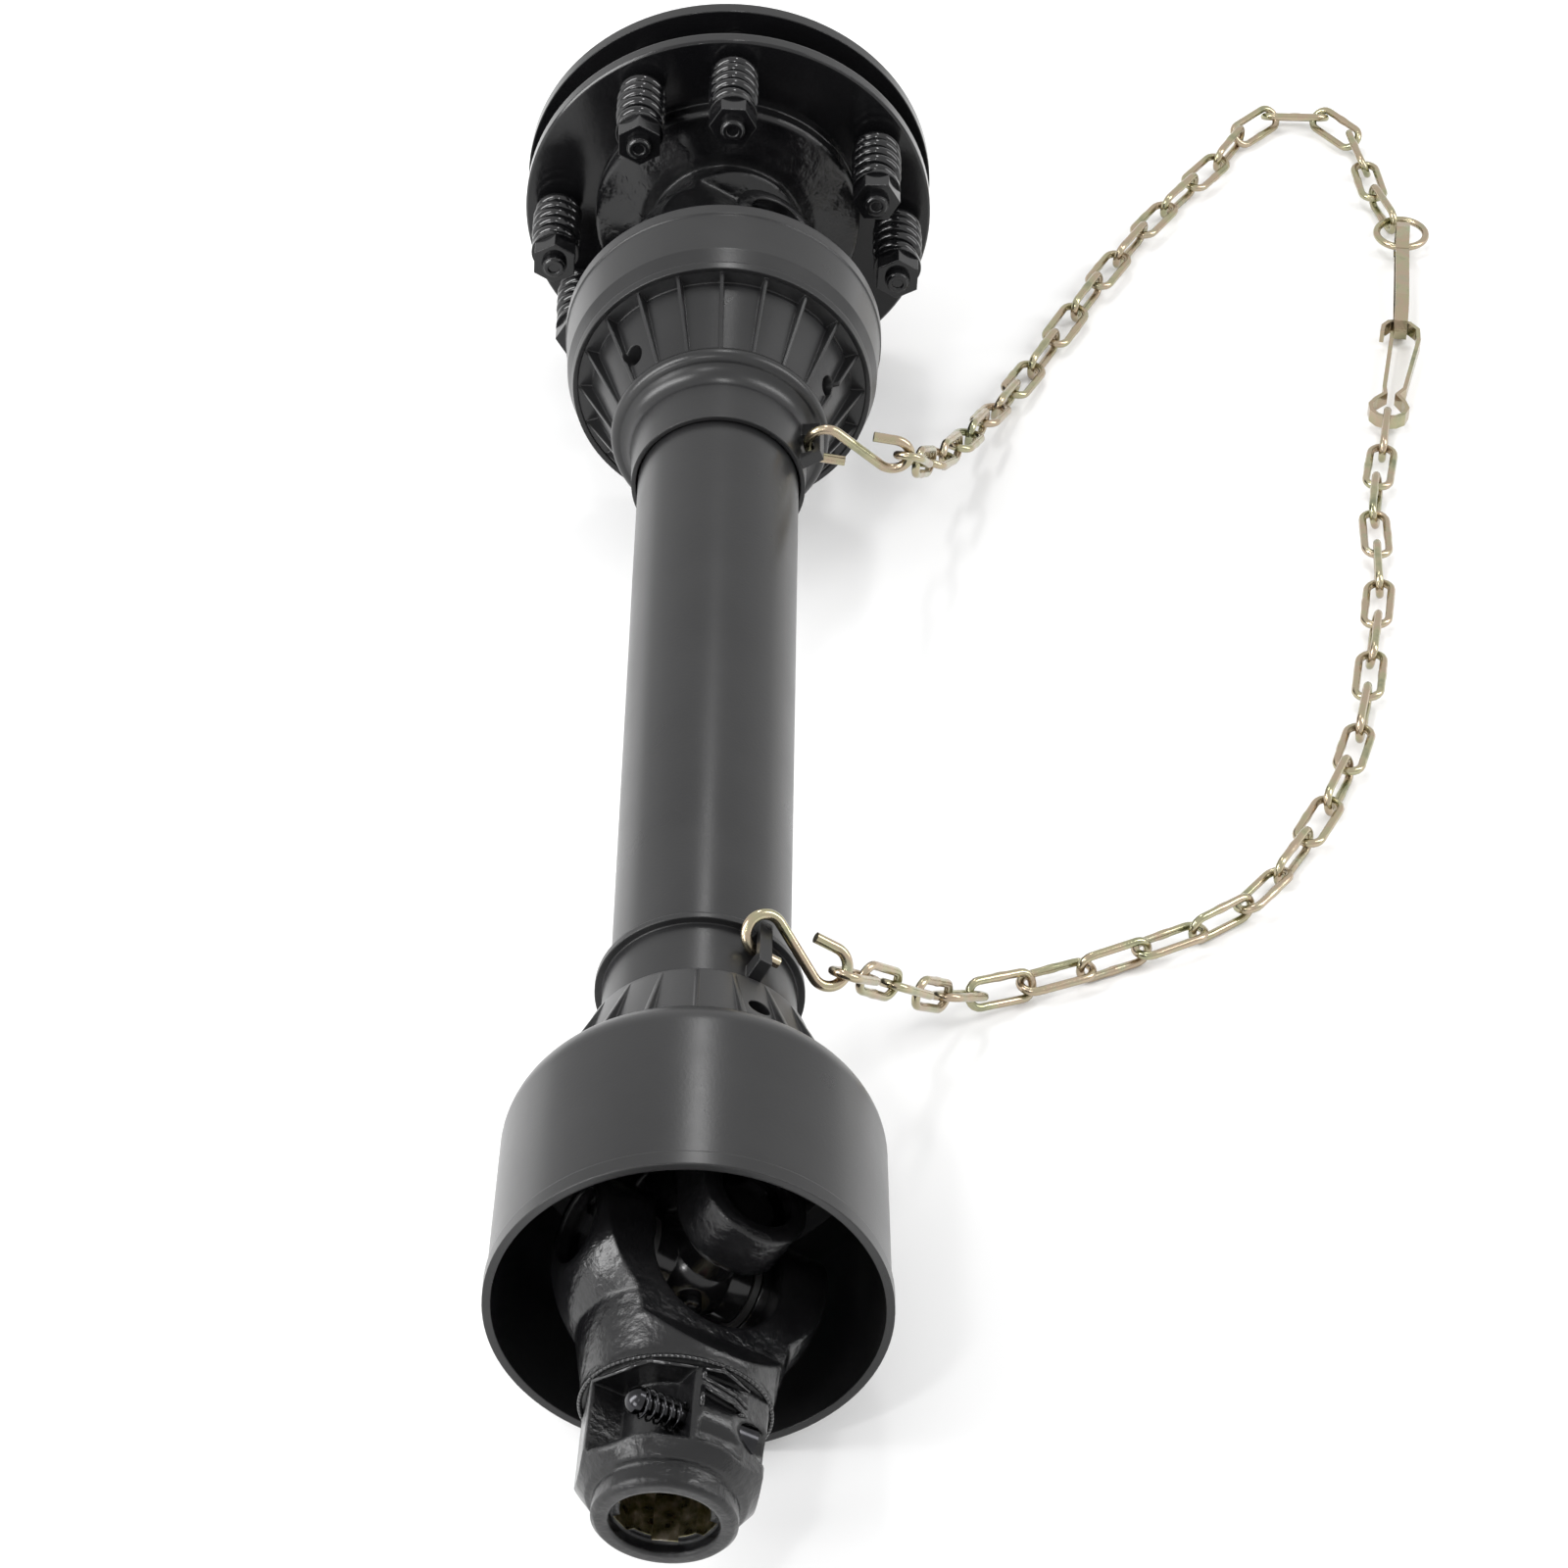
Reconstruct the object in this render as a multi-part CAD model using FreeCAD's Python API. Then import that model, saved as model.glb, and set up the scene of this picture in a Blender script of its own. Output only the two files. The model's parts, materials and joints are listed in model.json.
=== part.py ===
import FreeCAD, Part
import math
import os
from FreeCAD import Rotation, Vector

os.makedirs("parts", exist_ok=True)

# A tractor drive shaft with a guard, a quick-release yoke at its near end and a
# friction clutch at its far end. Millimetres. The shaft lies along Y, the clutch
# at the +Y end, Z up. The origin is where the splines of the clutch hub's bore begin,
# just inside its mouth.

# Lengths along the shaft
cross_span = 565.0
nose_reach = 100.0

# How the yokes stand: ear line of the tube yokes, from the vertical, and the end yoke
# leaning down under its own weight and to the left
ear_angle = 31.0
end_yoke_droop = 8.4
end_yoke_side = -3.3

# Splined bores, six teeth
spline_major_r = 17.45
spline_minor_r = 14.85
spline_groove_width = 8.7
spline_count = 6
bore_mouth_r = 18.0
bore_chamfer = 0.7
nose_mouth_depth = 5.0
hub_mouth_depth = 1.4

# Universal joint cross and its bearing cups
trunnion_r = 9.0
trunnion_clearance = 0.05
trunnion_end = 34.0
cup_r = 13.5
cup_outer = 37.3
cup_inner = 21.0
cup_floor = 3.0
cross_body_r = 14.0
cross_shoulder = 18.4
cross_shoulder_r = 11.5
seal_r = 12.6
ring_wire = 1.4
ring_bore_r = 10.0
ring_depth = 1.0

# Forged forks
ear_outer = 43.5
ear_inner = 24.5
ear_tip_r = 19.5
ear_waist = 21.0
fork_waist_end = 38.0
fork_end = 52.0
fork_flank_allowance = 1.0
ear_slope_start = 20.0
swing_r = 46.5
throat_shift = 8.0

# Tube yoke hubs
hub_r = 31.5
hub_end = 106.0
ring_groove_far = 102.0
ring_groove_near = 94.0
ring_groove_depth = 2.5
roll_pin_place = 76.0
roll_pin_r = 5.0
roll_pin_wall = 2.2
roll_pin_slot = 1.6
socket_depth = 50.0

# Telescoping triangular tubes: corner radius and inradius of the flats
outer_profile_r = 25.6
outer_profile_flat = 18.6
outer_profile_wall = 3.4
inner_profile_wall = 4.0
profile_gap = 0.15
outer_profile_end_gap = 12.0
inner_profile_end_gap = 6.0

# Guard tubes
guard_tube_r = 32.0
guard_tube_wall = 1.8
inner_guard_r = 29.7
inner_guard_wall = 2.0
guard_running_gap = 0.05

# Nylon rings that carry the guard on the hubs
nylon_ring_r = 37.0
ring_seat_gap = 0.1
hub_gap = 0.7

# Near guard: bell, cone and collar, by distance from the near cross
bell_overhang = 18.0
bell_rim_r = 68.5
bell_back_r = 66.2
bell_wall = 2.6
bell_lip = 6.0
bell_lip_step = 0.9
bell_length = 70.0
bell_neck_r = 58.0
bell_neck_length = 15.0
near_cone_back = 63.0
near_cone_top = 107.0
near_cone_cover = 3.0
near_cone_back_r = 53.0
near_fin_back_r = 58.0
near_collar_r = 34.5
near_collar_end = 138.2
flange_ring_r = 37.3
flange_ring_width = 2.6
tube_seat = 24.0

# Far guard: collar cup, bulge, dish and band, by distance from the far cross
far_cup_mouth = 132.2
far_cup_mouth_r = 34.6
far_collar_r = 35.3
far_cup_bottom = 119.0
far_cup_gap = 0.7
far_seat_end = 108.0
bulge_r = 43.5
bulge_land = 1.2
bulge_rise = 4.4
far_neck_length = 10.6
dish_inner = 97.0
dish_outer = 68.5
dish_edge = 2.0
dish_inner_r = 42.0
dish_outer_r = 52.5
far_fin_outer_r = 58.5
skirt_seat = 1.5
band_front = 67.0
band_front_r = 60.5
band_shoulder = 57.5
band_shoulder_r = 63.2
band_end = 29.3
band_end_r = 65.0
band_lip = 6.5
band_wall = 2.4
cup_tube_gap = 4.0

# Fins, holes and chain straps on both cones
cone_wall = 2.6
fin_count = 20
fin_width = 1.4
panel_hole_r = 4.2
panel_hole_place = 86.0
panel_hole_level = 46.0
near_hole_angle = 28.0
far_hole_angles = (-49.0, 69.0)
strap_width = 5.0
strap_clear = 40.5
strap_thickness = 2.6
strap_window = 10.6
near_strap_angle = 33.0
near_strap_middle = 124.6
near_strap_foot = 13.5
far_strap_angle = 72.0
far_strap_middle = 121.0
far_strap_front = 10.0
far_strap_back = 14.0
far_hook_dip = 10.0

# End yoke hub, by distance from the near cross
end_hub_r = 31.5
end_hub_flat = 29.4
end_hub_cone = 84.0
nose_step = 91.0
nose_r = 24.0
facet_count = 8
window_front = 85.0
window_back = 58.0
window_floor_r = 19.4
window_side = 1.0
window_depth_over = 4.0
rib_side = 8.5
side_window_floor = 27.0
side_window_reach = 19.0
side_window_rib = 2.6
side_bar_width = 3.4
side_bar_slant = 3.5

# Release pin
pin_place = 74.0
pin_r = 6.4
pin_clearance = 0.06
pin_stem_r = 3.4
pin_tail = 16.5
pin_boss_wall = 1.8
pin_head_r = 4.7
pin_head_start = 24.5
pin_head_length = 4.5
pin_bore_gap = 0.25
pin_stop = 3.0
pin_spring_r = 5.4
pin_spring_wire = 0.9
pin_spring_turns = 5

# Friction clutch, by distance from the far cross
plate_edge = 3.0
plate_thickness = 6.0
clutch_base_r = 56.0
clutch_base_start = 53.0
plate_front = 60.0
lining_bolt_gap = 3.0
lining_bore_r = 36.0
lining_thickness = 3.4
clutch_face_gap = 0.05
hub_disc_thickness = 10.0
hub_disc_weld = 5.0
hub_shoulder = 1.0
hub_boss_r = 29.5
hub_tail = 46.0
hub_pilot_r = 22.0
hub_pilot_start = 52.5
pilot_end_gap = 0.5
bushing_wall = 3.0
bushing_clearance = 0.05
lock_bolt_r = 6.0
lock_bolt_gap = 0.3
lock_bolt_back = 22.0
lock_head_size = 18.0
lock_head_height = 7.0

# Clutch bolts and springs
spring_base_gap = 5.0
bolt_r = 5.0
bolt_hole_clearance = 0.3
bolt_pair_half_angle = 16.0
bolt_pair_lean = -14.0
bolt_head_size = 16.0
bolt_head_height = 6.4
spring_r = 11.0
spring_wire = 5.0
spring_turns = 5
spring_length = 33.0
washer_thickness = 2.0
washer_r = 10.0
nut_height = 8.0
bolt_tip = 3.0

# Chain and its hooks
link_wire = 3.3
link_pitch = 25.0
link_width = 13.4
link_slack = 0.8
link_height = 7.2
link_roll_swing = 8.0
link_roll_step = 2.3
link_bend_lean = -1.1
eye_slack = 0.8
hook_wire = 4.0
hook_loop_r = 7.0
hook_clearance = 0.4
hook_length = 27.0
hook_tip = 9.0
strip_width = 6.0
strip_thickness = 1.8
strip_seat_gap = 1.8
snap_length = 77.0
snap_bulb_r = 8.0
wire_ring_r = 11.0
wire_ring_wire = 3.2

# Where the snap hooks lie on the ground: the bulb of the near one, headings and heights
near_snap_x = 284.0
near_snap_y = -112.0
near_snap_heading = 79.0
near_snap_height = 7.2
far_snap_heading = 85.0
far_snap_height = 11.4
ring_height = 7.4
snap_bite = 7.2
snap_shift = 1.8
ring_in_bulb = 6.6
ring_chain_heading = 110.0

# Places that follow from the sizes above
axis_y = Vector(0, 1, 0)
bolt_circle_r = clutch_base_r + spring_base_gap + spring_r
plate_r = bolt_circle_r + spring_r + plate_edge
lining_r = bolt_circle_r - bolt_r - lining_bolt_gap
plate_gap = 2 * lining_thickness + hub_disc_thickness + 4 * clutch_face_gap
rear_plate_front = plate_front + plate_thickness + plate_gap
rear_plate_back = rear_plate_front + plate_thickness
clutch_reach = rear_plate_back + hub_tail
disc_start = plate_front + plate_thickness + lining_thickness + 2 * clutch_face_gap
disc_end = disc_start + hub_disc_thickness
far_cross_y = -clutch_reach
near_cross_y = far_cross_y - cross_span
bell_rim_y = near_cross_y - bell_overhang
plate_front_y = far_cross_y + plate_front
tube_ear = Vector(math.sin(math.radians(ear_angle)), 0, math.cos(math.radians(ear_angle)))
drive_ear = Vector(-tube_ear.z, 0, tube_ear.x)
inner_profile_r = outer_profile_r - outer_profile_wall - profile_gap
inner_profile_flat = outer_profile_flat - outer_profile_wall - profile_gap
near_cone_top_r = nylon_ring_r + near_cone_cover
bulge_bottom = dish_inner + bulge_land
bulge_top = dish_inner + bulge_rise
pin_offset = spline_minor_r + pin_bore_gap + pin_r


def save(name, shape):
    shape.exportStep("parts/" + name + ".step")


def turned(points, start=0.0, direction=1.0):
    """A solid turned about the shaft from (radius, distance) points, an arc being four numbers."""
    edges = []
    here = Vector(points[0][0], start + direction * points[0][1], 0)
    first = here
    for point in points[1:]:
        if len(point) == 4:
            middle = Vector(point[0], start + direction * point[1], 0)
            there = Vector(point[2], start + direction * point[3], 0)
            edges.append(Part.Arc(here, middle, there).toShape())
        else:
            there = Vector(point[0], start + direction * point[1], 0)
            edges.append(Part.makeLine(here, there))
        here = there
    edges.append(Part.makeLine(here, first))
    face = Part.Face(Part.Wire(edges))
    return face.revolve(Vector(0, 0, 0), axis_y, 360)


def rod(radius, start, end, direction, offset=Vector(0, 0, 0)):
    """A round bar along a direction, from one distance to another."""
    base = offset + direction * start
    return Part.makeCylinder(radius, end - start, base, direction)


def prism(points, plane, low, high):
    """A straight extrusion. Plane xy, yz or xz holds the outline, low and high the depth."""
    if plane == "xy":
        corners = [Vector(a, b, low) for a, b in points]
        depth = Vector(0, 0, high - low)
    elif plane == "yz":
        corners = [Vector(low, a, b) for a, b in points]
        depth = Vector(high - low, 0, 0)
    else:
        corners = [Vector(a, low, b) for a, b in points]
        depth = Vector(0, high - low, 0)
    outline = Part.makePolygon(corners + [corners[0]])
    return Part.Face(outline).extrude(depth)


def polygon_bar(sides, inradius, start, end, turn=0.0):
    """A bar along Y with flat sides, the first flat facing the given turn from the vertical."""
    reach = inradius / math.cos(math.pi / sides)
    points = []
    for i in range(sides):
        angle = math.radians(turn) + (i + 0.5) * 2 * math.pi / sides
        points.append((reach * math.sin(angle), reach * math.cos(angle)))
    return prism(points, "xz", start, end)


def about_y(shape, degrees):
    """The shape turned so that +Z leans towards +X by the given angle."""
    return shape.rotated(Vector(0, 0, 0), axis_y, degrees)


# Splined bore and forks, in a frame of their own: the cross at the origin,
# +Y towards the hub, the ears along Z
def splined_bore(start, end, mouth_depth):
    """The cutter of a six-tooth bore, with a plain mouth beyond the end of its teeth."""
    cutter = Part.makeCylinder(spline_minor_r, end - start, Vector(0, start, 0), axis_y)
    groove_reach = math.sqrt(spline_major_r ** 2 - (spline_groove_width / 2) ** 2)
    for i in range(spline_count):
        groove = prism([(-spline_groove_width / 2, 0), (-spline_groove_width / 2, groove_reach),
                        (spline_groove_width / 2, groove_reach), (spline_groove_width / 2, 0)],
                       "xz", start, end)
        cutter = cutter.fuse(about_y(groove, i * 360 / spline_count))
    mouth = turned([(0, end), (bore_mouth_r, end), (bore_mouth_r, end + mouth_depth - bore_chamfer),
                    (bore_mouth_r + bore_chamfer, end + mouth_depth), (0, end + mouth_depth)])
    return cutter.fuse(mouth)


def fork(base_r, base_at, base_end):
    """Two ears and the throat between them, up to a round base."""
    flank = base_r + fork_flank_allowance
    slope_at = fork_waist_end - ear_slope_start
    cheek = [(-ear_tip_r, ear_outer), (slope_at, ear_outer), (base_at, flank), (base_end, flank),
             (base_end, -flank), (base_at, -flank), (slope_at, -ear_outer), (-ear_tip_r, -ear_outer)]
    cheeks = prism(cheek, "yz", -flank, flank)
    throat = Part.makeCylinder(ear_inner, 2 * flank, Vector(-flank, throat_shift, 0), Vector(1, 0, 0))
    mouth = Part.makeBox(2 * flank, ear_tip_r + throat_shift + 1, 2 * ear_inner,
                         Vector(-flank, -ear_tip_r - 1, -ear_inner))
    cheeks = cheeks.cut(throat.fuse(mouth))
    ear = prism([(-ear_tip_r, 0), (ear_tip_r, 0), (ear_waist, fork_waist_end), (flank, base_at),
                 (flank, base_end), (-flank, base_end), (-flank, base_at), (-ear_waist, fork_waist_end)],
                "xy", -ear_outer, ear_outer)
    tip = rod(ear_tip_r, -ear_outer, ear_outer, Vector(0, 0, 1))
    width = ear.fuse(tip)
    shoulder_y = math.sqrt(swing_r ** 2 - (base_r + 4) ** 2)
    envelope = turned([(0, -ear_tip_r), (math.sqrt(swing_r ** 2 - ear_tip_r ** 2), -ear_tip_r),
                       (swing_r, 0, base_r + 4, shoulder_y), (base_r, base_at), (base_r, base_end),
                       (0, base_end)])
    shape = cheeks.common(width).common(envelope)
    for side_sign in (1, -1):
        ear_line = Vector(0, 0, side_sign)
        shape = shape.cut(rod(cup_r, ear_inner - 5, ear_outer + 5, ear_line))
        shape = shape.cut(rod(cup_r + ring_depth, cup_outer, cup_outer + ring_wire, ear_line))
    return shape


def bearing_cups():
    cups = []
    for side_sign in (1, -1):
        ear_line = Vector(0, 0, side_sign)
        cup = rod(cup_r, cup_inner, cup_outer, ear_line)
        well = rod(trunnion_r + trunnion_clearance, cup_inner, cup_outer - cup_floor, ear_line)
        cups.append(cup.cut(well))
    return Part.makeCompound(cups)


def snap_rings():
    """Open spring rings that hold the cups in the ears."""
    rings = []
    for side_sign in (1, -1):
        ear_line = Vector(0, 0, side_sign)
        ring = rod(cup_r + ring_depth, cup_outer, cup_outer + ring_wire, ear_line)
        ring = ring.cut(rod(ring_bore_r, cup_outer, cup_outer + ring_wire, ear_line))
        gap = prism([(-3.0, 0), (3.0, 0), (4.5, -20), (-4.5, -20)], "xy", -60, 60)
        rings.append(ring.cut(gap))
    return Part.makeCompound(rings)


def cross():
    """Forged cross with trunnions along X and Z."""
    shape = Part.makeSphere(cross_body_r + 1.5)
    slab = Part.makeBox(80, 2 * cross_body_r, 80, Vector(-40, -cross_body_r, -40))
    shape = shape.common(slab)
    for line in (Vector(1, 0, 0), Vector(0, 0, 1)):
        shape = shape.fuse(rod(cross_shoulder_r, -cross_shoulder, cross_shoulder, line))
        shape = shape.fuse(rod(trunnion_r, -trunnion_end, trunnion_end, line))
    return shape.removeSplitter()


def cross_seals():
    seals = []
    for line in (Vector(1, 0, 0), Vector(0, 0, 1), Vector(-1, 0, 0), Vector(0, 0, -1)):
        ring = rod(seal_r, cross_shoulder, cup_inner - 0.3, line)
        seals.append(ring.cut(rod(trunnion_r, 0, cup_inner, line)))
    return Part.makeCompound(seals)


def grease_nipple(direction):
    """A straight nipple on the face of the cross, and its cap."""
    base = cross_body_r
    body = turned([(0, base - 0.5), (4.0, base - 0.5), (4.0, base + 3.0), (2.4, base + 3.8),
                   (2.4, base + 5.0), (3.2, base + 6.0), (2.6, base + 8.0), (0, base + 8.0)], 0, direction)
    foot = turned([(0, base - 0.5), (4.0, base - 0.5), (4.0, base), (0, base)], 0, direction)
    cap = turned([(0, base + 8.2), (3.8, base + 8.2), (4.2, base + 9.4), (3.6, base + 11.0),
                  (1.8, base + 11.8), (0, base + 11.8)], 0, direction)
    return body.cut(foot), cap


def profile_bar(corner_r, flat, start, end):
    bar = Part.makeCylinder(corner_r, end - start, Vector(0, start, 0), axis_y)
    return bar.common(polygon_bar(3, flat, start, end))


def tube_yoke(corner_r, flat):
    """Fork and hub of a tube yoke, with the socket of its tube and the groove of the nylon ring."""
    groove_r = hub_r - ring_groove_depth
    hub = turned([(0, fork_end - 2), (hub_r, fork_end - 2), (hub_r, ring_groove_near),
                  (groove_r, ring_groove_near), (groove_r, ring_groove_far), (hub_r, ring_groove_far),
                  (hub_r, hub_end - 1.5), (hub_r - 1.5, hub_end), (0, hub_end)])
    shape = fork(hub_r, fork_end, fork_end + 6).fuse(hub)
    shape = shape.cut(profile_bar(corner_r, flat, hub_end - socket_depth, hub_end + 1))
    pin_centre = Vector(0, roll_pin_place, 0)
    shape = shape.cut(rod(roll_pin_r, -hub_r - 5, hub_r + 5, Vector(1, 0, 0), offset=pin_centre))
    return shape.removeSplitter()


def roll_pin():
    """A slotted spring pin through hub and tube."""
    reach = math.sqrt(hub_r ** 2 - roll_pin_r ** 2)
    centre = Vector(0, roll_pin_place, 0)
    line = Vector(1, 0, 0)
    pin = rod(roll_pin_r, -reach, reach, line, offset=centre)
    pin = pin.cut(rod(roll_pin_r - roll_pin_wall, -hub_r, hub_r, line, offset=centre))
    slot = Part.makeBox(2 * hub_r, roll_pin_slot, 2 * roll_pin_r,
                        Vector(-hub_r, roll_pin_place - roll_pin_slot / 2, 0))
    return pin.cut(slot)


def profile_tube(corner_r, flat, wall, start, end):
    tube = profile_bar(corner_r, flat, start, end)
    tube = tube.cut(profile_bar(corner_r - wall, flat - wall, start, end))
    return tube.cut(rod(roll_pin_r, -hub_r, hub_r, Vector(1, 0, 0), offset=Vector(0, roll_pin_place, 0)))


def end_yoke():
    """Fork with a splined hub, its two windows and the bore of the release pin."""
    hub = turned([(0, fork_end - 2), (end_hub_r, fork_end - 2), (end_hub_r, end_hub_cone),
                  (nose_r + 2.4, nose_step), (nose_r, nose_step + 0.8), (nose_r, nose_reach - 1.5),
                  (nose_r - 1.5, nose_reach), (0, nose_reach)])
    facets = polygon_bar(facet_count, end_hub_flat, fork_end - 2, nose_reach, 180 / facet_count)
    shape = fork(end_hub_r, fork_end, fork_end + 4).fuse(hub.common(facets))
    shape = shape.cut(splined_bore(throat_shift, nose_reach - nose_mouth_depth, nose_mouth_depth))
    window_length = window_front - window_back
    outside = -end_hub_r - window_depth_over
    wall = Part.makeCylinder(window_floor_r, window_length, Vector(0, window_back, 0), axis_y)
    window = Part.makeBox(-outside - window_side, window_length, end_hub_r,
                          Vector(outside, window_back, rib_side))
    shape = shape.cut(window.cut(wall))
    rib_bottom = rib_side - side_window_rib
    side_window = Part.makeBox(-side_window_floor - outside, window_length, side_window_reach,
                               Vector(outside, window_back, rib_bottom - side_window_reach))
    pin_line = Vector(-pin_offset, pin_place, 0)
    up = Vector(0, 0, 1)
    boss = rod(pin_r + pin_boss_wall, -end_hub_r, end_hub_r, up, offset=pin_line)
    bar_at = window_back + side_bar_width
    bar = prism([(bar_at, rib_bottom), (bar_at + side_bar_width, rib_bottom),
                 (bar_at + side_bar_width + side_bar_slant, rib_bottom - side_window_reach),
                 (bar_at + side_bar_slant, rib_bottom - side_window_reach)],
                "yz", -end_hub_flat, -side_window_floor)
    shape = shape.cut(side_window.cut(boss).cut(bar))
    pin_end = pin_stop + pin_bore_gap
    shape = shape.cut(rod(pin_r + pin_clearance, -end_hub_r - 5, pin_end, up, offset=pin_line))
    shape = shape.cut(rod(pin_stem_r + pin_clearance, 0, end_hub_r, up, offset=pin_line))
    shape = shape.cut(rod(pin_spring_r + 0.6, rib_side, end_hub_r + 5, up, offset=pin_line))
    return shape.removeSplitter()


def release_pin():
    pin_line = Vector(-pin_offset, pin_place, 0)
    up = Vector(0, 0, 1)
    pin = rod(pin_r, -pin_tail, pin_stop, up, offset=pin_line)
    pin = pin.fuse(rod(pin_stem_r, 0, pin_head_start, up, offset=pin_line))
    dome = Part.makeSphere(pin_head_length + 1.0, pin_line + up * (pin_head_start - 1.0))
    head = rod(pin_head_r, pin_head_start, pin_head_start + pin_head_length, up, offset=pin_line)
    return pin.fuse(head.common(dome)).removeSplitter()


def coil(mean_r, wire_r, length, turns, sides):
    """An open coil along Z from 0 to length, its wire drawn with flat sides."""
    pitch = (length - 2 * wire_r) / turns
    helix = Part.makeHelix(pitch, pitch * turns, mean_r)
    helix.translate(Vector(0, 0, wire_r))
    corners = []
    for i in range(sides + 1):
        angle = 2 * math.pi * (i + 0.5) / sides
        corners.append(Vector(mean_r + wire_r * math.cos(angle), 0, wire_r + wire_r * math.sin(angle)))
    section = Part.makePolygon(corners)
    return Part.Wire(helix.Edges).makePipeShell([section], True, True)


def release_spring():
    spring = coil(pin_spring_r - pin_spring_wire / 2, pin_spring_wire / 2,
                  pin_head_start - rib_side - 0.2, pin_spring_turns, 4)
    spring.translate(Vector(-pin_offset, pin_place, rib_side + 0.1))
    return spring


# Guard cones
def fins(inner_point, outer_point, start, direction, depth):
    """Thin radial fins whose free edge runs from one (radius, distance) point to another."""
    ribs = []
    points = [(start + direction * inner_point[1], inner_point[0]),
              (start + direction * outer_point[1], outer_point[0]),
              (start + direction * outer_point[1], outer_point[0] - depth - 4),
              (start + direction * inner_point[1], inner_point[0] - 1.2)]
    fin = prism(points, "yz", -fin_width / 2, fin_width / 2)
    for i in range(fin_count):
        ribs.append(about_y(fin, i * 360 / fin_count))
    return ribs


def strap(angle, foot_start, foot_end, middle, floor_r):
    """A moulded eye on the collar: a bar along the shaft, held at both ends."""
    window_start = middle - strap_window / 2
    window_end = middle + strap_window / 2
    top = strap_clear + strap_thickness
    points = [(foot_start, floor_r), (foot_start + 3, top), (foot_end - 3, top), (foot_end, floor_r),
              (window_end + 1, floor_r), (window_end, strap_clear), (window_start, strap_clear),
              (window_start - 1, floor_r)]
    return about_y(prism(points, "yz", -strap_width / 2, strap_width / 2), angle)


def panel_hole(angle, station):
    drill = rod(panel_hole_r, panel_hole_level - 15, panel_hole_level + 15, Vector(0, 0, 1),
                offset=Vector(0, station, 0))
    return about_y(drill, angle)


def near_cone():
    body = turned([(near_cone_back_r, near_cone_back), (near_cone_top_r, near_cone_top - 0.8),
                   (near_cone_top_r - 0.8, near_cone_top), (near_collar_r, near_cone_top + 0.2),
                   (near_collar_r, near_collar_end - flange_ring_width),
                   (flange_ring_r, near_collar_end - flange_ring_width),
                   (flange_ring_r, near_collar_end), (guard_tube_r, near_collar_end),
                   (guard_tube_r, near_collar_end - tube_seat), (inner_guard_r, near_collar_end - tube_seat),
                   (inner_guard_r, near_collar_end - tube_seat - 3), (inner_guard_r + 2.2, hub_end + 0.4),
                   (hub_r + hub_gap, ring_groove_far + ring_seat_gap),
                   (nylon_ring_r, ring_groove_far + ring_seat_gap), (nylon_ring_r, ring_groove_near - 2.0),
                   (near_cone_back_r - cone_wall, near_cone_back + 1),
                   (near_cone_back_r - cone_wall, near_cone_back - cone_wall),
                   (near_fin_back_r, near_cone_back - cone_wall), (near_fin_back_r, near_cone_back)],
                  near_cross_y)
    shape = body
    for rib in fins((near_cone_top_r, near_cone_top - 1), (near_fin_back_r, near_cone_back),
                    near_cross_y, 1, 1.2):
        shape = shape.fuse(rib)
    middle = near_cross_y + near_strap_middle
    shape = shape.fuse(strap(near_strap_angle, middle - near_strap_foot, near_cross_y + near_collar_end - 0.5,
                             middle, near_collar_r - 1))
    shape = shape.cut(panel_hole(near_hole_angle, near_cross_y + panel_hole_place))
    return shape.removeSplitter()


def near_bell():
    rim = -bell_overhang
    back = rim + bell_length
    neck = back + bell_neck_length
    bulge = bell_back_r - (bell_back_r - bell_neck_r) * 0.28
    points = [(bell_rim_r, rim), (bell_rim_r, rim + bell_lip),
              (bell_rim_r - bell_lip_step, rim + bell_lip + 0.4), (bell_back_r, back),
              (bulge, back + bell_neck_length * 0.6, bell_neck_r, neck),
              (bell_neck_r - bell_wall, neck - 0.4),
              (bulge - bell_wall, back + bell_neck_length * 0.5, bell_back_r - bell_wall, back - 1.0),
              (bell_rim_r - bell_wall - 0.3, rim)]
    return turned(points, near_cross_y)


def near_bell_fitted():
    """The bell with its neck cut clear of the fins that carry it."""
    seat = turned([(0, near_cone_back - cone_wall - 0.05),
                   (near_fin_back_r + 0.05, near_cone_back - cone_wall - 0.05),
                   (near_fin_back_r + 0.05, near_cone_back),
                   (near_cone_top_r + 0.05, near_cone_top - 1), (0, near_cone_top - 1)], near_cross_y)
    return near_bell().cut(seat)


def nylon_ring():
    """The split bearing ring of one guard, in the fork's own frame."""
    groove_r = hub_r - ring_groove_depth
    near_face = ring_groove_near + ring_seat_gap
    far_face = ring_groove_far - ring_seat_gap
    ring = turned([(groove_r + guard_running_gap, near_face), (nylon_ring_r, near_face),
                   (nylon_ring_r, far_face), (groove_r + guard_running_gap, far_face)])
    slot = Part.makeBox(2.0, 40, 60, Vector(-1.0, ring_groove_near - 5, -60))
    return ring.cut(slot)


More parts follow.
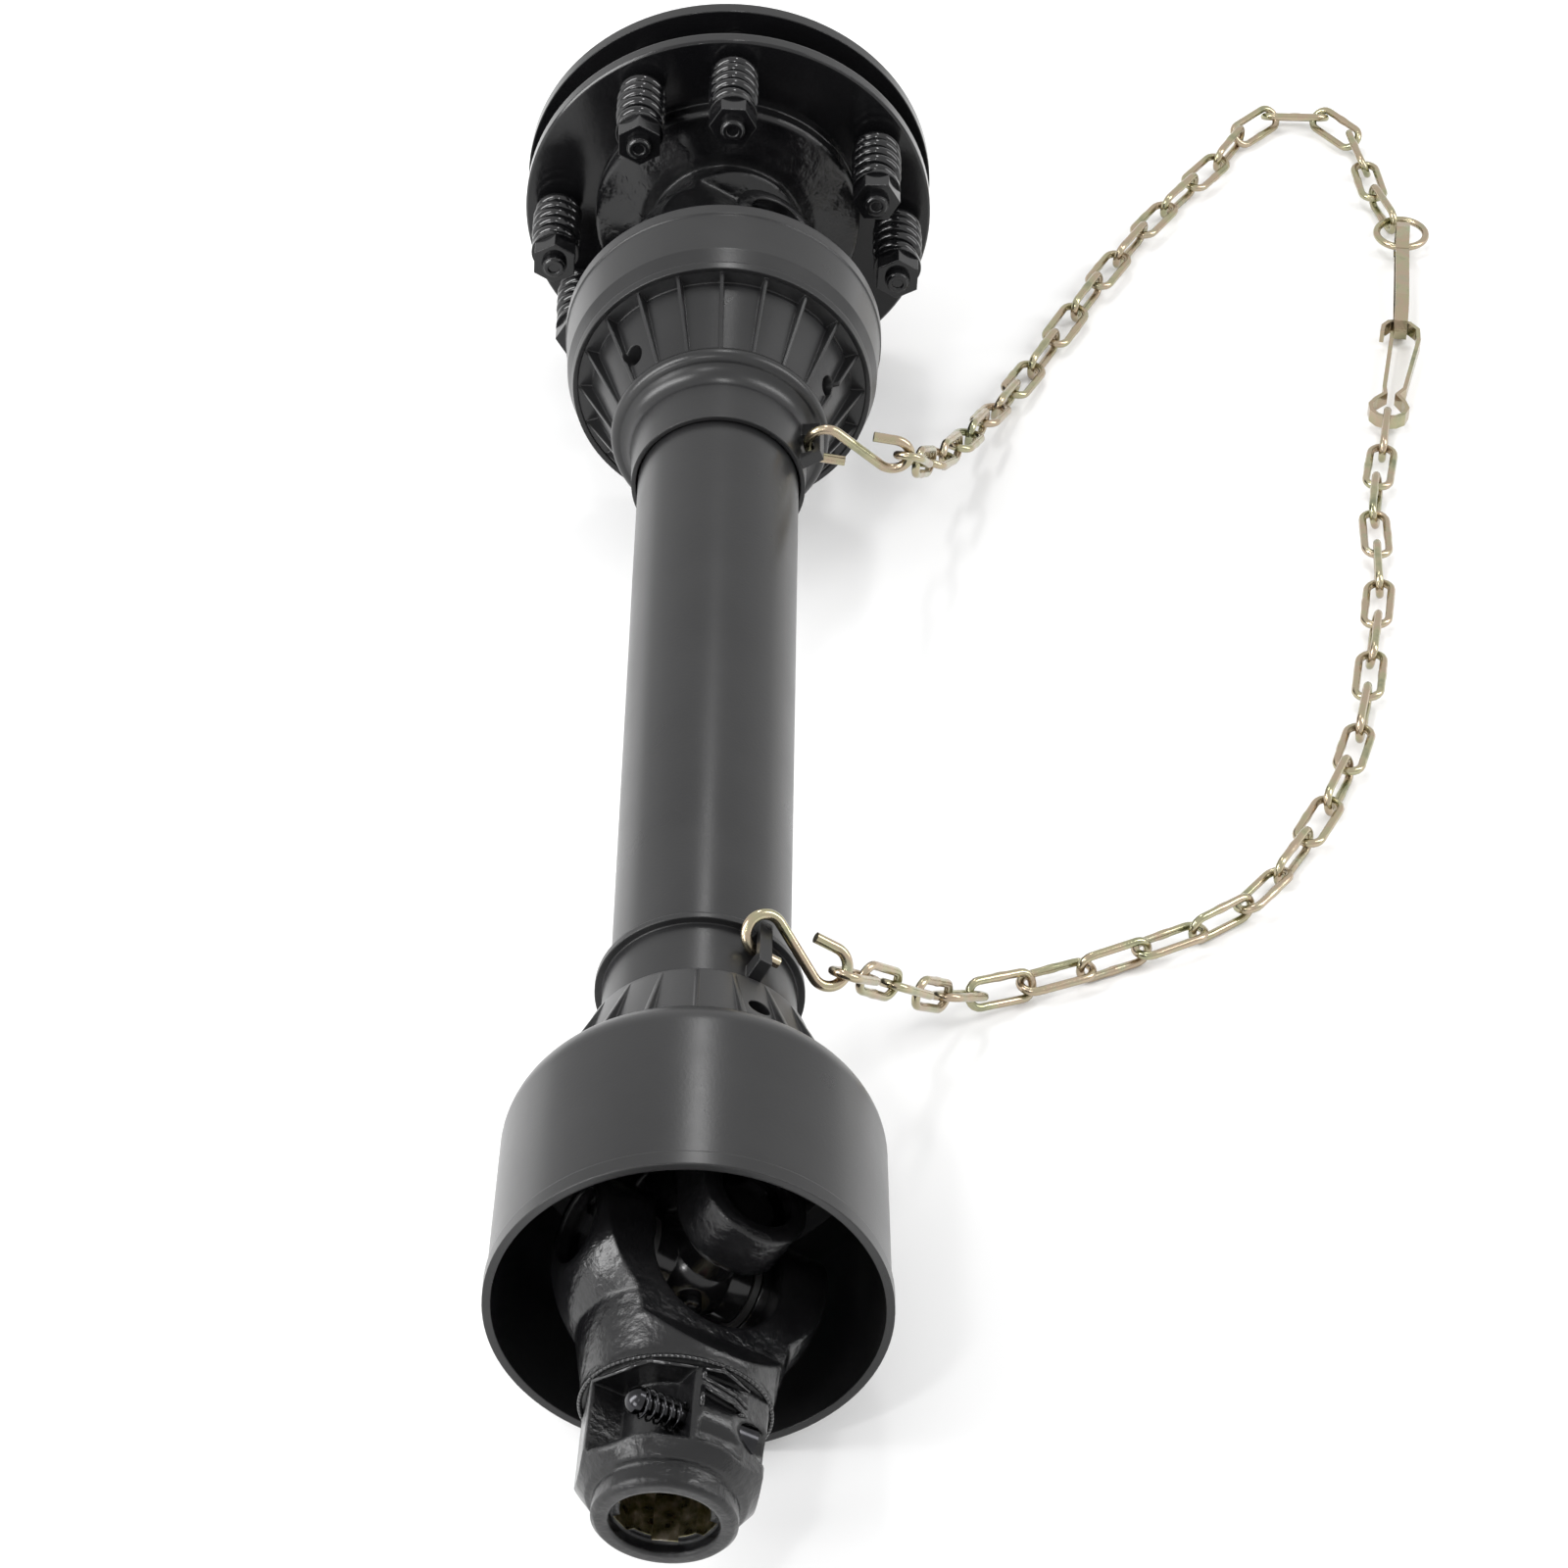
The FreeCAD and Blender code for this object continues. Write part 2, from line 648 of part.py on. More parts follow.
def far_cone():
    cup_r_inner = guard_tube_r + far_cup_gap
    skirt_r = far_fin_outer_r + skirt_seat
    dish_face = dish_outer - dish_edge
    dish_back = dish_face - cone_wall
    body = turned([(far_cup_mouth_r, far_cup_mouth), (far_collar_r, bulge_top + far_neck_length),
                   (far_collar_r + 1.3, bulge_top + 5.1, bulge_r - 3.5, bulge_top + 2.2),
                   (bulge_r, bulge_top, bulge_r, bulge_bottom), (dish_inner_r, dish_inner),
                   (dish_outer_r, dish_outer), (dish_outer_r, dish_face), (skirt_r, dish_face),
                   (skirt_r, dish_back), (dish_outer_r - cone_wall, dish_back),
                   (nylon_ring_r, ring_groove_near - 2.0), (nylon_ring_r, ring_groove_far + ring_seat_gap),
                   (hub_r + hub_gap, ring_groove_far + ring_seat_gap), (hub_r + hub_gap, far_seat_end - 1),
                   (inner_guard_r, far_seat_end - 0.8), (inner_guard_r, far_cup_bottom),
                   (cup_r_inner, far_cup_bottom), (cup_r_inner, far_cup_mouth)], far_cross_y, -1)
    shape = body
    for rib in fins((dish_inner_r + 1.0, dish_inner + 0.5), (far_fin_outer_r, dish_outer - 3.0),
                    far_cross_y, -1, 4.0):
        shape = shape.fuse(rib)
    middle = far_cross_y - far_strap_middle
    shape = shape.fuse(strap(far_strap_angle, middle - far_strap_front, middle + far_strap_back,
                             middle, far_cup_mouth_r - 0.9))
    for angle in far_hole_angles:
        shape = shape.cut(panel_hole(angle, far_cross_y - panel_hole_place))
    return shape.removeSplitter()


def far_band():
    """The short outer skirt, clipped round the dish."""
    inner_r = far_fin_outer_r + skirt_seat + 0.05
    lip_r = inner_r - 1.6
    return turned([(lip_r, band_front), (band_front_r, band_front + 0.6),
                   (band_front_r + 0.8, band_front - 2.4), (band_front_r + 0.4, band_front - 3.2),
                   (band_shoulder_r - 0.6, band_shoulder + 1.6, band_shoulder_r, band_shoulder),
                   (band_end_r - 0.5, band_end + band_lip), (band_end_r, band_end + band_lip - 0.6),
                   (band_end_r, band_end), (band_end_r - band_wall, band_end), (inner_r, band_shoulder - 2),
                   (inner_r, dish_outer - dish_edge), (lip_r, dish_outer - dish_edge + 0.02)],
                  far_cross_y, -1)


# Friction clutch
def ring_plate(outer, inner, start, thickness):
    plate = Part.makeCylinder(outer, thickness, Vector(0, far_cross_y + start, 0), axis_y)
    return plate.cut(Part.makeCylinder(inner, thickness, Vector(0, far_cross_y + start, 0), axis_y))


def bolt_angles():
    angles = []
    for pair in range(4):
        for side in (-1, 1):
            angles.append(bolt_pair_lean + 90 * pair + side * bolt_pair_half_angle)
    return angles


def at_bolts(shape):
    copies = []
    for angle in bolt_angles():
        copy = shape.copy()
        copy.translate(Vector(0, far_cross_y, bolt_circle_r))
        copies.append(about_y(copy, angle))
    return copies


def bolt_drills(start, end):
    drill = Part.makeCylinder(bolt_r + bolt_hole_clearance, end - start, Vector(0, start, 0), axis_y)
    return Part.makeCompound(at_bolts(drill))


def clutch_yoke():
    """Fork on a round base, forged with the front pressure plate."""
    forged = fork(hub_r, fork_end - 6, clutch_base_start + 2)
    base = turned([(0, clutch_base_start - 4), (hub_r + 6, clutch_base_start - 4),
                   (clutch_base_r - 1.2, clutch_base_start), (clutch_base_r, clutch_base_start + 1.2),
                   (clutch_base_r, plate_front + 1), (0, plate_front + 1)])
    plate = turned([(0, plate_front), (plate_r - 0.8, plate_front), (plate_r, plate_front + 0.8),
                    (plate_r, plate_front + plate_thickness), (0, plate_front + plate_thickness)])
    shape = forged.fuse(base).fuse(plate)
    well_start = hub_pilot_start - pilot_end_gap
    well = Part.makeCylinder(hub_pilot_r + bushing_wall, plate_front + plate_thickness - well_start,
                             Vector(0, well_start, 0), axis_y)
    return shape.cut(well).removeSplitter()


def clutch_hub():
    """Splined hub with a front pilot and a shoulder for its disc, locked to its shaft by a cross bolt."""
    hub_end_y = clutch_reach + hub_mouth_depth
    shoulder_r = lining_bore_r - 1
    shape = turned([(0, hub_pilot_start), (hub_pilot_r, hub_pilot_start),
                    (hub_pilot_r, disc_start - hub_shoulder), (shoulder_r, disc_start - hub_shoulder),
                    (shoulder_r, disc_start), (hub_boss_r, disc_start), (hub_boss_r, hub_end_y - 2),
                    (hub_boss_r - 2, hub_end_y), (0, hub_end_y)])
    shape = shape.cut(splined_bore(hub_pilot_start - 1, clutch_reach, hub_mouth_depth))
    lock_centre = Vector(0, clutch_reach - lock_bolt_back, spline_minor_r + lock_bolt_gap + lock_bolt_r)
    return shape.cut(rod(lock_bolt_r, -hub_boss_r, hub_boss_r, Vector(1, 0, 0), offset=lock_centre))


def driven_disc():
    """The disc between the linings, welded round the hub's boss."""
    return turned([(hub_boss_r, disc_start), (lining_r, disc_start), (lining_r, disc_end),
                   (hub_boss_r + hub_disc_weld, disc_end), (hub_boss_r, disc_end + hub_disc_weld)],
                  far_cross_y)


def lock_bolt():
    """The cross bolt's head, shank and nut, seated on the hub."""
    lock_y = clutch_reach - lock_bolt_back
    lock_offset = spline_minor_r + lock_bolt_gap + lock_bolt_r
    seat = math.sqrt(hub_boss_r ** 2 - (lock_offset - lock_head_size / 2) ** 2) + 0.2
    line = Vector(1, 0, 0)
    centre = Vector(0, lock_y, lock_offset)
    shank = rod(lock_bolt_r, -seat - lock_head_height - 3, seat, line, offset=centre)
    bolt = shank.fuse(place_hexagon(lock_head_size, lock_head_height, centre + line * seat))
    nut = place_hexagon(lock_head_size, lock_head_height, centre - line * (seat + lock_head_height))
    nut = nut.cut(rod(lock_bolt_r, -seat - lock_head_height, -seat, line, offset=centre))
    return bolt, nut


def hexagon(size, height):
    """A hexagonal block along Y from 0."""
    return polygon_bar(6, size / 2, 0, height)


def place_hexagon(size, height, base):
    """A hexagonal block along X from a base point."""
    block = hexagon(size, height).rotated(Vector(0, 0, 0), Vector(0, 0, 1), -90)
    block.translate(base)
    return block


def clutch_bolts():
    start = plate_front - spring_length - washer_thickness - nut_height - bolt_tip
    shank = Part.makeCylinder(bolt_r, rear_plate_back - start, Vector(0, start, 0), axis_y)
    head = hexagon(bolt_head_size, bolt_head_height)
    head.translate(Vector(0, rear_plate_back, 0))
    return Part.makeCompound(at_bolts(shank.fuse(head)))


def clutch_springs():
    spring = coil(spring_r - spring_wire / 2, spring_wire / 2, spring_length - 0.1, spring_turns, 5)
    spring = spring.rotated(Vector(0, 0, 0), Vector(1, 0, 0), 90)
    spring.translate(Vector(0, plate_front - 0.05, 0))
    return Part.makeCompound(at_bolts(spring))


def clutch_washers():
    start = plate_front - spring_length - washer_thickness
    washer = Part.makeCylinder(washer_r, washer_thickness, Vector(0, start, 0), axis_y)
    washer = washer.cut(Part.makeCylinder(bolt_r, washer_thickness, Vector(0, start, 0), axis_y))
    return Part.makeCompound(at_bolts(washer))


def clutch_nuts():
    start = plate_front - spring_length - washer_thickness - nut_height
    nut = hexagon(bolt_head_size + 1, nut_height)
    nut = nut.cut(Part.makeCylinder(bolt_r, nut_height, Vector(0, 0, 0), axis_y))
    nut.translate(Vector(0, start, 0))
    return Part.makeCompound(at_bolts(nut))


# Chain
def floor_height(y):
    """Height of the ground: the plane that touches the bell's rim and the clutch plate's rim."""
    slope = (plate_r - bell_rim_r) / (plate_front_y - bell_rim_y)
    return -plate_r - slope * (y - plate_front_y)


def link_frame(start, end, roll):
    """Placement that puts a part drawn along X onto a line in space, rolled about that line."""
    along = (end - start).normalize()
    side = Vector(0, 0, 1).cross(along).normalize()
    up = along.cross(side)
    turn = Rotation(along, side, up, "XYZ")
    roll_turn = Rotation(Vector(1, 0, 0), roll)
    return FreeCAD.Placement((start + end) * 0.5, turn.multiply(roll_turn))


def wire_loop(points, wire_r, sides, closed):
    """A bent wire with flat sides along straight runs, mitred at its corners."""
    path = Part.makePolygon([Vector(x, y, 0) for x, y in points])
    first = Vector(points[0][0], points[0][1], 0)
    along = Vector(points[1][0], points[1][1], 0) - first
    side = Vector(0, 0, 1).cross(along).normalize()
    middle = first
    if closed:
        middle = first + along * 0.5
    corners = []
    for i in range(sides + 1):
        angle = 2 * math.pi * (i + 0.5) / sides
        corners.append(middle + side * (wire_r * math.cos(angle)) + Vector(0, 0, wire_r * math.sin(angle)))
    section = Part.makePolygon(corners)
    if closed:
        half = middle
        rest = [half] + [Vector(x, y, 0) for x, y in points[1:]] + [half]
        path = Part.makePolygon(rest)
    return Part.Wire(path).makePipeShell([section], True, False, 1)


def chain_link(pitch):
    """One stadium link drawn along X in the XY plane, for links that follow at the given pitch."""
    half_length = (pitch + 2 * link_wire + link_slack - link_width) / 2
    arc_r = (link_width - link_wire) / 2
    points = [(-half_length, -arc_r), (half_length, -arc_r)]
    for degrees in (-45, 0, 45):
        angle = math.radians(degrees)
        reach = arc_r / math.cos(math.radians(22.5))
        points.append((half_length + reach * math.cos(angle), reach * math.sin(angle)))
    points.append((half_length, arc_r))
    points.append((-half_length, arc_r))
    for degrees in (135, 180, 225):
        angle = math.radians(degrees)
        reach = arc_r / math.cos(math.radians(22.5))
        points.append((-half_length + reach * math.cos(angle), reach * math.sin(angle)))
    points.append(points[0])
    return wire_loop(points, link_wire / 2, 6, True)


def chain(first_eye, first_eye_r, route, last_eye, last_eye_r, first_roll):
    """An even number of links between two eyes, by way of points on the ground or (x, y, height) over it."""
    points = []
    for point in route:
        height = point[2] if len(point) == 3 else link_height
        points.append(on_ground(Vector(point[0], point[1], 0), height))
    first = first_eye + (first_eye - points[0]).normalize() * first_eye_r
    last = last_eye + (last_eye - points[-1]).normalize() * last_eye_r
    points = [first] + points + [last]
    curve = Part.BSplineCurve()
    curve.interpolate(points)
    count = 2 * round(curve.length() / link_pitch / 2)
    marks = curve.discretize(Number=count + 1)
    bends = [0] * (count + 1)
    for i in range(1, count):
        bends[i] = math.degrees((marks[i] - marks[i - 1]).getAngle(marks[i + 1] - marks[i]))
    link = chain_link(curve.length() / count)
    links = []
    for i in range(count):
        roll = first_roll + 90 * (i % 2)
        if 0 < i < count - 1:
            roll += link_bend_lean * (bends[i] + bends[i + 1]) / 2
            roll += link_roll_swing * math.sin(link_roll_step * i)
        placed = link.copy()
        placed.Placement = link_frame(marks[i], marks[i + 1], roll)
        links.append(placed)
    return Part.makeCompound(links)


def s_hook(origin, along, across):
    """A double hook of round wire, drawn in the plane of two directions."""
    def at(a, w):
        return origin + along * a + across * w
    r = hook_loop_r
    far = hook_length
    lean = math.asin(2 * r / far)
    near_turn = at(r * math.sin(lean), r * math.cos(lean))
    far_turn = at(far - r * math.sin(lean), -r * math.cos(lean))
    path = [Part.makeLine(at(hook_tip, -r), at(0, -r)),
            Part.Arc(at(0, -r), at(-r, 0), near_turn).toShape(),
            Part.makeLine(near_turn, far_turn),
            Part.Arc(far_turn, at(far + r, 0), at(far, r)).toShape(),
            Part.makeLine(at(far, r), at(far - hook_tip, r))]
    section = Part.Wire(Part.makeCircle(hook_wire / 2, at(hook_tip, -r), along))
    return Part.Wire(path).makePipeShell([section], True, False)


def strip_band(points, thickness, width):
    """A flat strip on edge, bent along a line of points."""
    left = []
    right = []
    for i, (x, y) in enumerate(points):
        before = points[max(i - 1, 0)]
        after = points[min(i + 1, len(points) - 1)]
        dx1, dy1 = x - before[0], y - before[1]
        dx2, dy2 = after[0] - x, after[1] - y
        length1 = math.hypot(dx1, dy1) or 1.0
        length2 = math.hypot(dx2, dy2) or 1.0
        nx = -(dy1 / length1 + dy2 / length2)
        ny = dx1 / length1 + dx2 / length2
        size = math.hypot(nx, ny)
        nx, ny = nx / size, ny / size
        if 0 < i < len(points) - 1:
            cosine = (-dy1 * nx + dx1 * ny) / length1
        else:
            cosine = 1.0
        half = thickness / 2 / cosine
        left.append((x + nx * half, y + ny * half))
        right.append((x - nx * half, y - ny * half))
    return prism(left + right[::-1], "xy", -width / 2, width / 2)


def snap_hook():
    """A hairpin of flat strip: bulb at x 0, open gate and curl at the other end."""
    centre = snap_bulb_r + strip_thickness / 2
    tip = snap_length
    points = [(tip - 10, 5.0), (24, 3.6), (19, 2.6)]
    for degrees in (50, 85, 120, 150, 180, 210, 240, 275, 310):
        angle = math.radians(degrees)
        points.append((centre + snap_bulb_r * math.cos(angle), snap_bulb_r * math.sin(angle)))
    points += [(19, -2.6), (24, -5.2), (tip - 14, -7.0), (tip - 6, -5.8), (tip - 1.9, -1.8), (tip - 0.9, 3.0),
               (tip - 2.5, 7.4), (tip - 6, 9.4), (tip - 11, 9.4)]
    return strip_band(points, strip_thickness, strip_width)


def heading_line(degrees):
    """A direction along the ground, 0 degrees being +X."""
    ahead = Vector(math.cos(math.radians(degrees)), math.sin(math.radians(degrees)), 0)
    ahead.z = floor_height(ahead.y) - floor_height(0)
    return ahead.normalize()


def on_ground(point, height):
    return Vector(point.x, point.y, floor_height(point.y) + height)


def laid(shape, start, heading, roll):
    """A flat piece drawn along X, turned to a heading and rolled about it."""
    placed = shape.copy()
    frame = link_frame(start, start + heading_line(heading), roll)
    frame.Base = start
    placed.Placement = frame
    return placed


# Places of the forks
def place_tube(shape, cross_y, towards):
    """A piece of a tube yoke: hub towards +Y or -Y, ears on the tube yokes' line."""
    placed = shape.copy()
    if towards < 0:
        placed = placed.rotated(Vector(0, 0, 0), Vector(0, 0, 1), 180)
    placed = about_y(placed, ear_angle)
    placed.translate(Vector(0, cross_y, 0))
    return placed


def place_clutch(shape):
    """A piece of the clutch's yoke: its ears square to those of the tube yoke."""
    placed = about_y(shape, ear_angle - 90)
    placed.translate(Vector(0, far_cross_y, 0))
    return placed


lean_first = end_yoke_droop * tube_ear.x + end_yoke_side * tube_ear.z
lean_second = end_yoke_droop * drive_ear.x + end_yoke_side * drive_ear.z
near_cross_point = Vector(0, near_cross_y, 0)


def lean_cross(shape):
    """The near cross, leaned about the tube yoke's ears."""
    return shape.rotated(near_cross_point, tube_ear, lean_first)


def place_end(shape):
    """A piece of the end yoke, drooping about both lines of its cross."""
    placed = shape.rotated(Vector(0, 0, 0), Vector(0, 0, 1), 180)
    placed = about_y(placed, ear_angle - 90)
    placed.translate(near_cross_point)
    placed = placed.rotated(near_cross_point, drive_ear, lean_second)
    return lean_cross(placed)


def place_cross(shape, cross_y):
    placed = about_y(shape, ear_angle)
    placed.translate(Vector(0, cross_y, 0))
    return placed


# Near end: end yoke, cross and tube yoke
save("end_yoke", place_end(end_yoke()))
save("end_yoke_cups", place_end(bearing_cups()))
save("end_yoke_snap_rings", place_end(snap_rings()))
save("release_pin", place_end(release_pin()))
save("release_spring", place_end(release_spring()))

nipple, nipple_cap = grease_nipple(-1)
save("near_cross", lean_cross(place_cross(cross(), near_cross_y)))
save("near_cross_seals", lean_cross(place_cross(cross_seals(), near_cross_y)))
save("near_grease_nipple", lean_cross(place_cross(nipple, near_cross_y)))
save("near_nipple_cap", lean_cross(place_cross(nipple_cap, near_cross_y)))

outer_tube_end = cross_span - hub_end - outer_profile_end_gap
near_yoke = tube_yoke(outer_profile_r, outer_profile_flat)
outer_profile = profile_tube(outer_profile_r, outer_profile_flat, outer_profile_wall,
                             hub_end - socket_depth, outer_tube_end)
save("near_tube_yoke", place_tube(near_yoke, near_cross_y, 1))
save("near_tube_yoke_cups", place_tube(bearing_cups(), near_cross_y, 1))
save("near_tube_yoke_snap_rings", place_tube(snap_rings(), near_cross_y, 1))
save("near_roll_pin", place_tube(roll_pin(), near_cross_y, 1))
save("outer_profile_tube", place_tube(outer_profile, near_cross_y, 1))

# Near guard
guard_tube_start = near_collar_end - tube_seat
guard_tube_end = cross_span - far_cup_bottom - cup_tube_gap
guard_tube = turned([(guard_tube_r, guard_tube_start), (guard_tube_r, guard_tube_end),
                     (guard_tube_r - guard_tube_wall, guard_tube_end),
                     (guard_tube_r - guard_tube_wall, guard_tube_start)], near_cross_y)
save("near_bearing_ring", place_tube(nylon_ring(), near_cross_y, 1))
save("near_guard_cone", near_cone())
save("near_guard_bell", near_bell_fitted())
save("outer_guard_tube", guard_tube)

# Far end: tube yoke and cross
inner_tube_end = cross_span - hub_end - inner_profile_end_gap
far_yoke = tube_yoke(inner_profile_r, inner_profile_flat)
inner_profile = profile_tube(inner_profile_r, inner_profile_flat, inner_profile_wall,
                             hub_end - socket_depth, inner_tube_end)
save("far_tube_yoke", place_tube(far_yoke, far_cross_y, -1))
save("far_tube_yoke_cups", place_tube(bearing_cups(), far_cross_y, -1))
save("far_tube_yoke_snap_rings", place_tube(snap_rings(), far_cross_y, -1))
save("far_roll_pin", place_tube(roll_pin(), far_cross_y, -1))
save("inner_profile_tube", place_tube(inner_profile, far_cross_y, -1))
far_nipple, far_nipple_cap = grease_nipple(1)
save("far_cross", place_cross(cross(), far_cross_y))
save("far_cross_seals", place_cross(cross_seals(), far_cross_y))
save("far_grease_nipple", place_cross(far_nipple, far_cross_y))

# Far guard
inner_guard = turned([(inner_guard_r, far_seat_end), (inner_guard_r, cross_span - near_collar_end),
                      (inner_guard_r - inner_guard_wall, cross_span - near_collar_end),
                      (inner_guard_r - inner_guard_wall, far_seat_end)], far_cross_y, -1)
save("far_bearing_ring", place_tube(nylon_ring(), far_cross_y, -1))
save("far_guard_cone", far_cone())
save("far_guard_band", far_band())
save("inner_guard_tube", inner_guard)

# Clutch
save("clutch_yoke", place_clutch(clutch_yoke()).cut(bolt_drills(plate_front - 5, plate_front + 10)))
save("clutch_yoke_cups", place_clutch(bearing_cups()))
save("clutch_yoke_snap_rings", place_clutch(snap_rings()))
front_lining = plate_front + plate_thickness + clutch_face_gap
rear_lining = rear_plate_front - clutch_face_gap - lining_thickness
save("front_friction_disc", ring_plate(lining_r, lining_bore_r, front_lining, lining_thickness))
save("rear_friction_disc", ring_plate(lining_r, lining_bore_r, rear_lining, lining_thickness))
hub = clutch_hub()
hub.translate(Vector(0, far_cross_y, 0))
save("clutch_hub", hub)
bolt, nut = lock_bolt()
bolt.translate(Vector(0, far_cross_y, 0))
nut.translate(Vector(0, far_cross_y, 0))
save("hub_lock_bolt", bolt)
save("hub_lock_nut", nut)
save("driven_disc", driven_disc())
save("hub_bushing", ring_plate(hub_pilot_r + bushing_wall, hub_pilot_r + bushing_clearance, hub_pilot_start,
                               plate_front + plate_thickness - hub_pilot_start - pilot_end_gap))
rear_plate = ring_plate(plate_r, lining_bore_r, rear_plate_front, plate_thickness)
save("rear_pressure_plate", rear_plate.cut(bolt_drills(rear_plate_front - 1, rear_plate_back + 1)))
save("clutch_bolts", clutch_bolts())
save("clutch_springs", clutch_springs())
save("clutch_washers", clutch_washers())
save("clutch_nuts", clutch_nuts())

# Chain, hooks and ring
round_collar = Vector(math.sin(math.radians(near_strap_angle)), 0, math.cos(math.radians(near_strap_angle)))
down_collar = Vector(round_collar.z, 0, -round_collar.x)
near_across = (round_collar + axis_y).normalize()
near_wire_r = near_collar_r + hook_clearance + hook_wire / 2
near_hook_start = round_collar * (near_wire_r + hook_loop_r * near_across.dot(round_collar)) \
    + axis_y * (near_cross_y + near_strap_middle + hook_loop_r * near_across.y)
save("near_s_hook", s_hook(near_hook_start, down_collar, near_across))

eye_line = Vector(math.sin(math.radians(far_strap_angle)), 0, math.cos(math.radians(far_strap_angle)))
far_line = Vector(math.cos(math.radians(far_hook_dip)), 0, -math.sin(math.radians(far_hook_dip)))
far_across = Vector(-far_line.z, 0, far_line.x)
far_wire_r = far_collar_r + hook_clearance + hook_wire / 2
far_hook_start = eye_line * (far_wire_r + hook_loop_r) + axis_y * (far_cross_y - far_strap_middle)
save("far_s_hook", s_hook(far_hook_start, far_line, far_across))

near_snap_line = heading_line(near_snap_heading)
near_snap_side = heading_line(near_snap_heading + 90)
far_snap_line = heading_line(far_snap_heading)
near_snap_start = Vector(near_snap_x, near_snap_y, 0)
bite = near_snap_start + near_snap_line * (snap_length - snap_bite) + near_snap_side * snap_shift
near_snap_start = on_ground(near_snap_start, near_snap_height)
far_snap_start = on_ground(bite + far_snap_line * snap_length, far_snap_height)
ring_centre = on_ground(far_snap_start + far_snap_line * (wire_ring_r - ring_in_bulb), ring_height)
save("near_snap_hook", laid(snap_hook(), near_snap_start, near_snap_heading, 0))
save("far_snap_hook", laid(snap_hook(), far_snap_start, far_snap_heading + 180, -90))
save("chain_ring", Part.makeTorus(wire_ring_r, wire_ring_wire / 2, ring_centre, Vector(0, 0, 1)))

near_eye = near_hook_start + down_collar * (hook_length + hook_loop_r)
snap_eye = near_snap_start + near_snap_line * (strip_thickness / 2)
strip_seat = strip_thickness / 2 + strip_seat_gap
near_route = [(60, -553, 72), (74, -534, 50), (88, -512, 27), (105, -491, 10), (127, -480), (151, -469),
              (177, -455), (199, -441), (214, -424), (227, -402), (246, -361), (260, -311), (267, -265),
              (273, -215), (273, -190), (278, -150)]
save("near_chain", chain(near_eye, hook_wire / 2, near_route, snap_eye, strip_seat, 0))

ring_eye = ring_centre + heading_line(ring_chain_heading) * wire_ring_r
far_eye = far_hook_start + far_line * (hook_length + hook_loop_r)
far_route = [(292, 76), (289, 104), (282, 127), (263, 140), (241, 130), (229, 108), (212, 80), (183, 32),
             (152, -32), (128, -85), (110, -138, 23), (95, -190, 45), (84, -226, 65)]
save("far_chain", chain(ring_eye, wire_ring_wire / 2, far_route, far_eye, hook_wire / 2 + eye_slack, 90))
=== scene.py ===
import json
import math
import bpy
import numpy
from mathutils import Matrix, Vector


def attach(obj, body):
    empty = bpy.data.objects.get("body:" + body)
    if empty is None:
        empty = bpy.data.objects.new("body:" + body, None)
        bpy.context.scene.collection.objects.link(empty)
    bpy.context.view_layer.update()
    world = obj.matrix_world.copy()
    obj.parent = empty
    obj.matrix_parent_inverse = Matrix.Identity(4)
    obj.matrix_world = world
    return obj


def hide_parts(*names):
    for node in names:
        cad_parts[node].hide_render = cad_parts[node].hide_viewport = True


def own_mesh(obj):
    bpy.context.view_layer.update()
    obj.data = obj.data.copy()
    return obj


# A tractor drive shaft lying on a pale floor: black moulded guard, black painted forgings
# with a bare splined bore, and a yellow zinc chain. Metres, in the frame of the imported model.

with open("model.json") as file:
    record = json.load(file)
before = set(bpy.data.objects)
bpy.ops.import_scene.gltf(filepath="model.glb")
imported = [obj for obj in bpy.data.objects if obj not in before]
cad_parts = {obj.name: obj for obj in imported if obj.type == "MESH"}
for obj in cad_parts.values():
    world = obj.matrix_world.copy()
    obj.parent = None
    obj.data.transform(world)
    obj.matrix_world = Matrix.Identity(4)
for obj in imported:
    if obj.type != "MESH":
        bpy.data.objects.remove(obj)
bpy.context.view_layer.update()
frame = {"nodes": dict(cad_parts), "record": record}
scene = bpy.context.scene
scene.view_settings.view_transform = "Standard"

mm = 0.001

# Camera: the photograph's viewing angle, in metres and radians
camera = {
    "place": (0.0325, -1.9028, 1.24067),
    "yaw": -0.0028356,
    "pitch": 0.7063161,
    "roll": 0.0144053,
    "lens": 118.41,
    "sensor": 36.0,
    "farthest": 100.0,
}

# Floor: it leans with the shaft, which lies on the bell's rim and the clutch plate
ground = {
    "bellRimY": -0.718,
    "bellRimR": 0.0685,
    "plateY": -0.075,
    "plateR": 0.086,
    "size": 30.0,
    "colour": (0.93, 0.93, 0.93, 1.0),
    "roughness": 0.9,
}

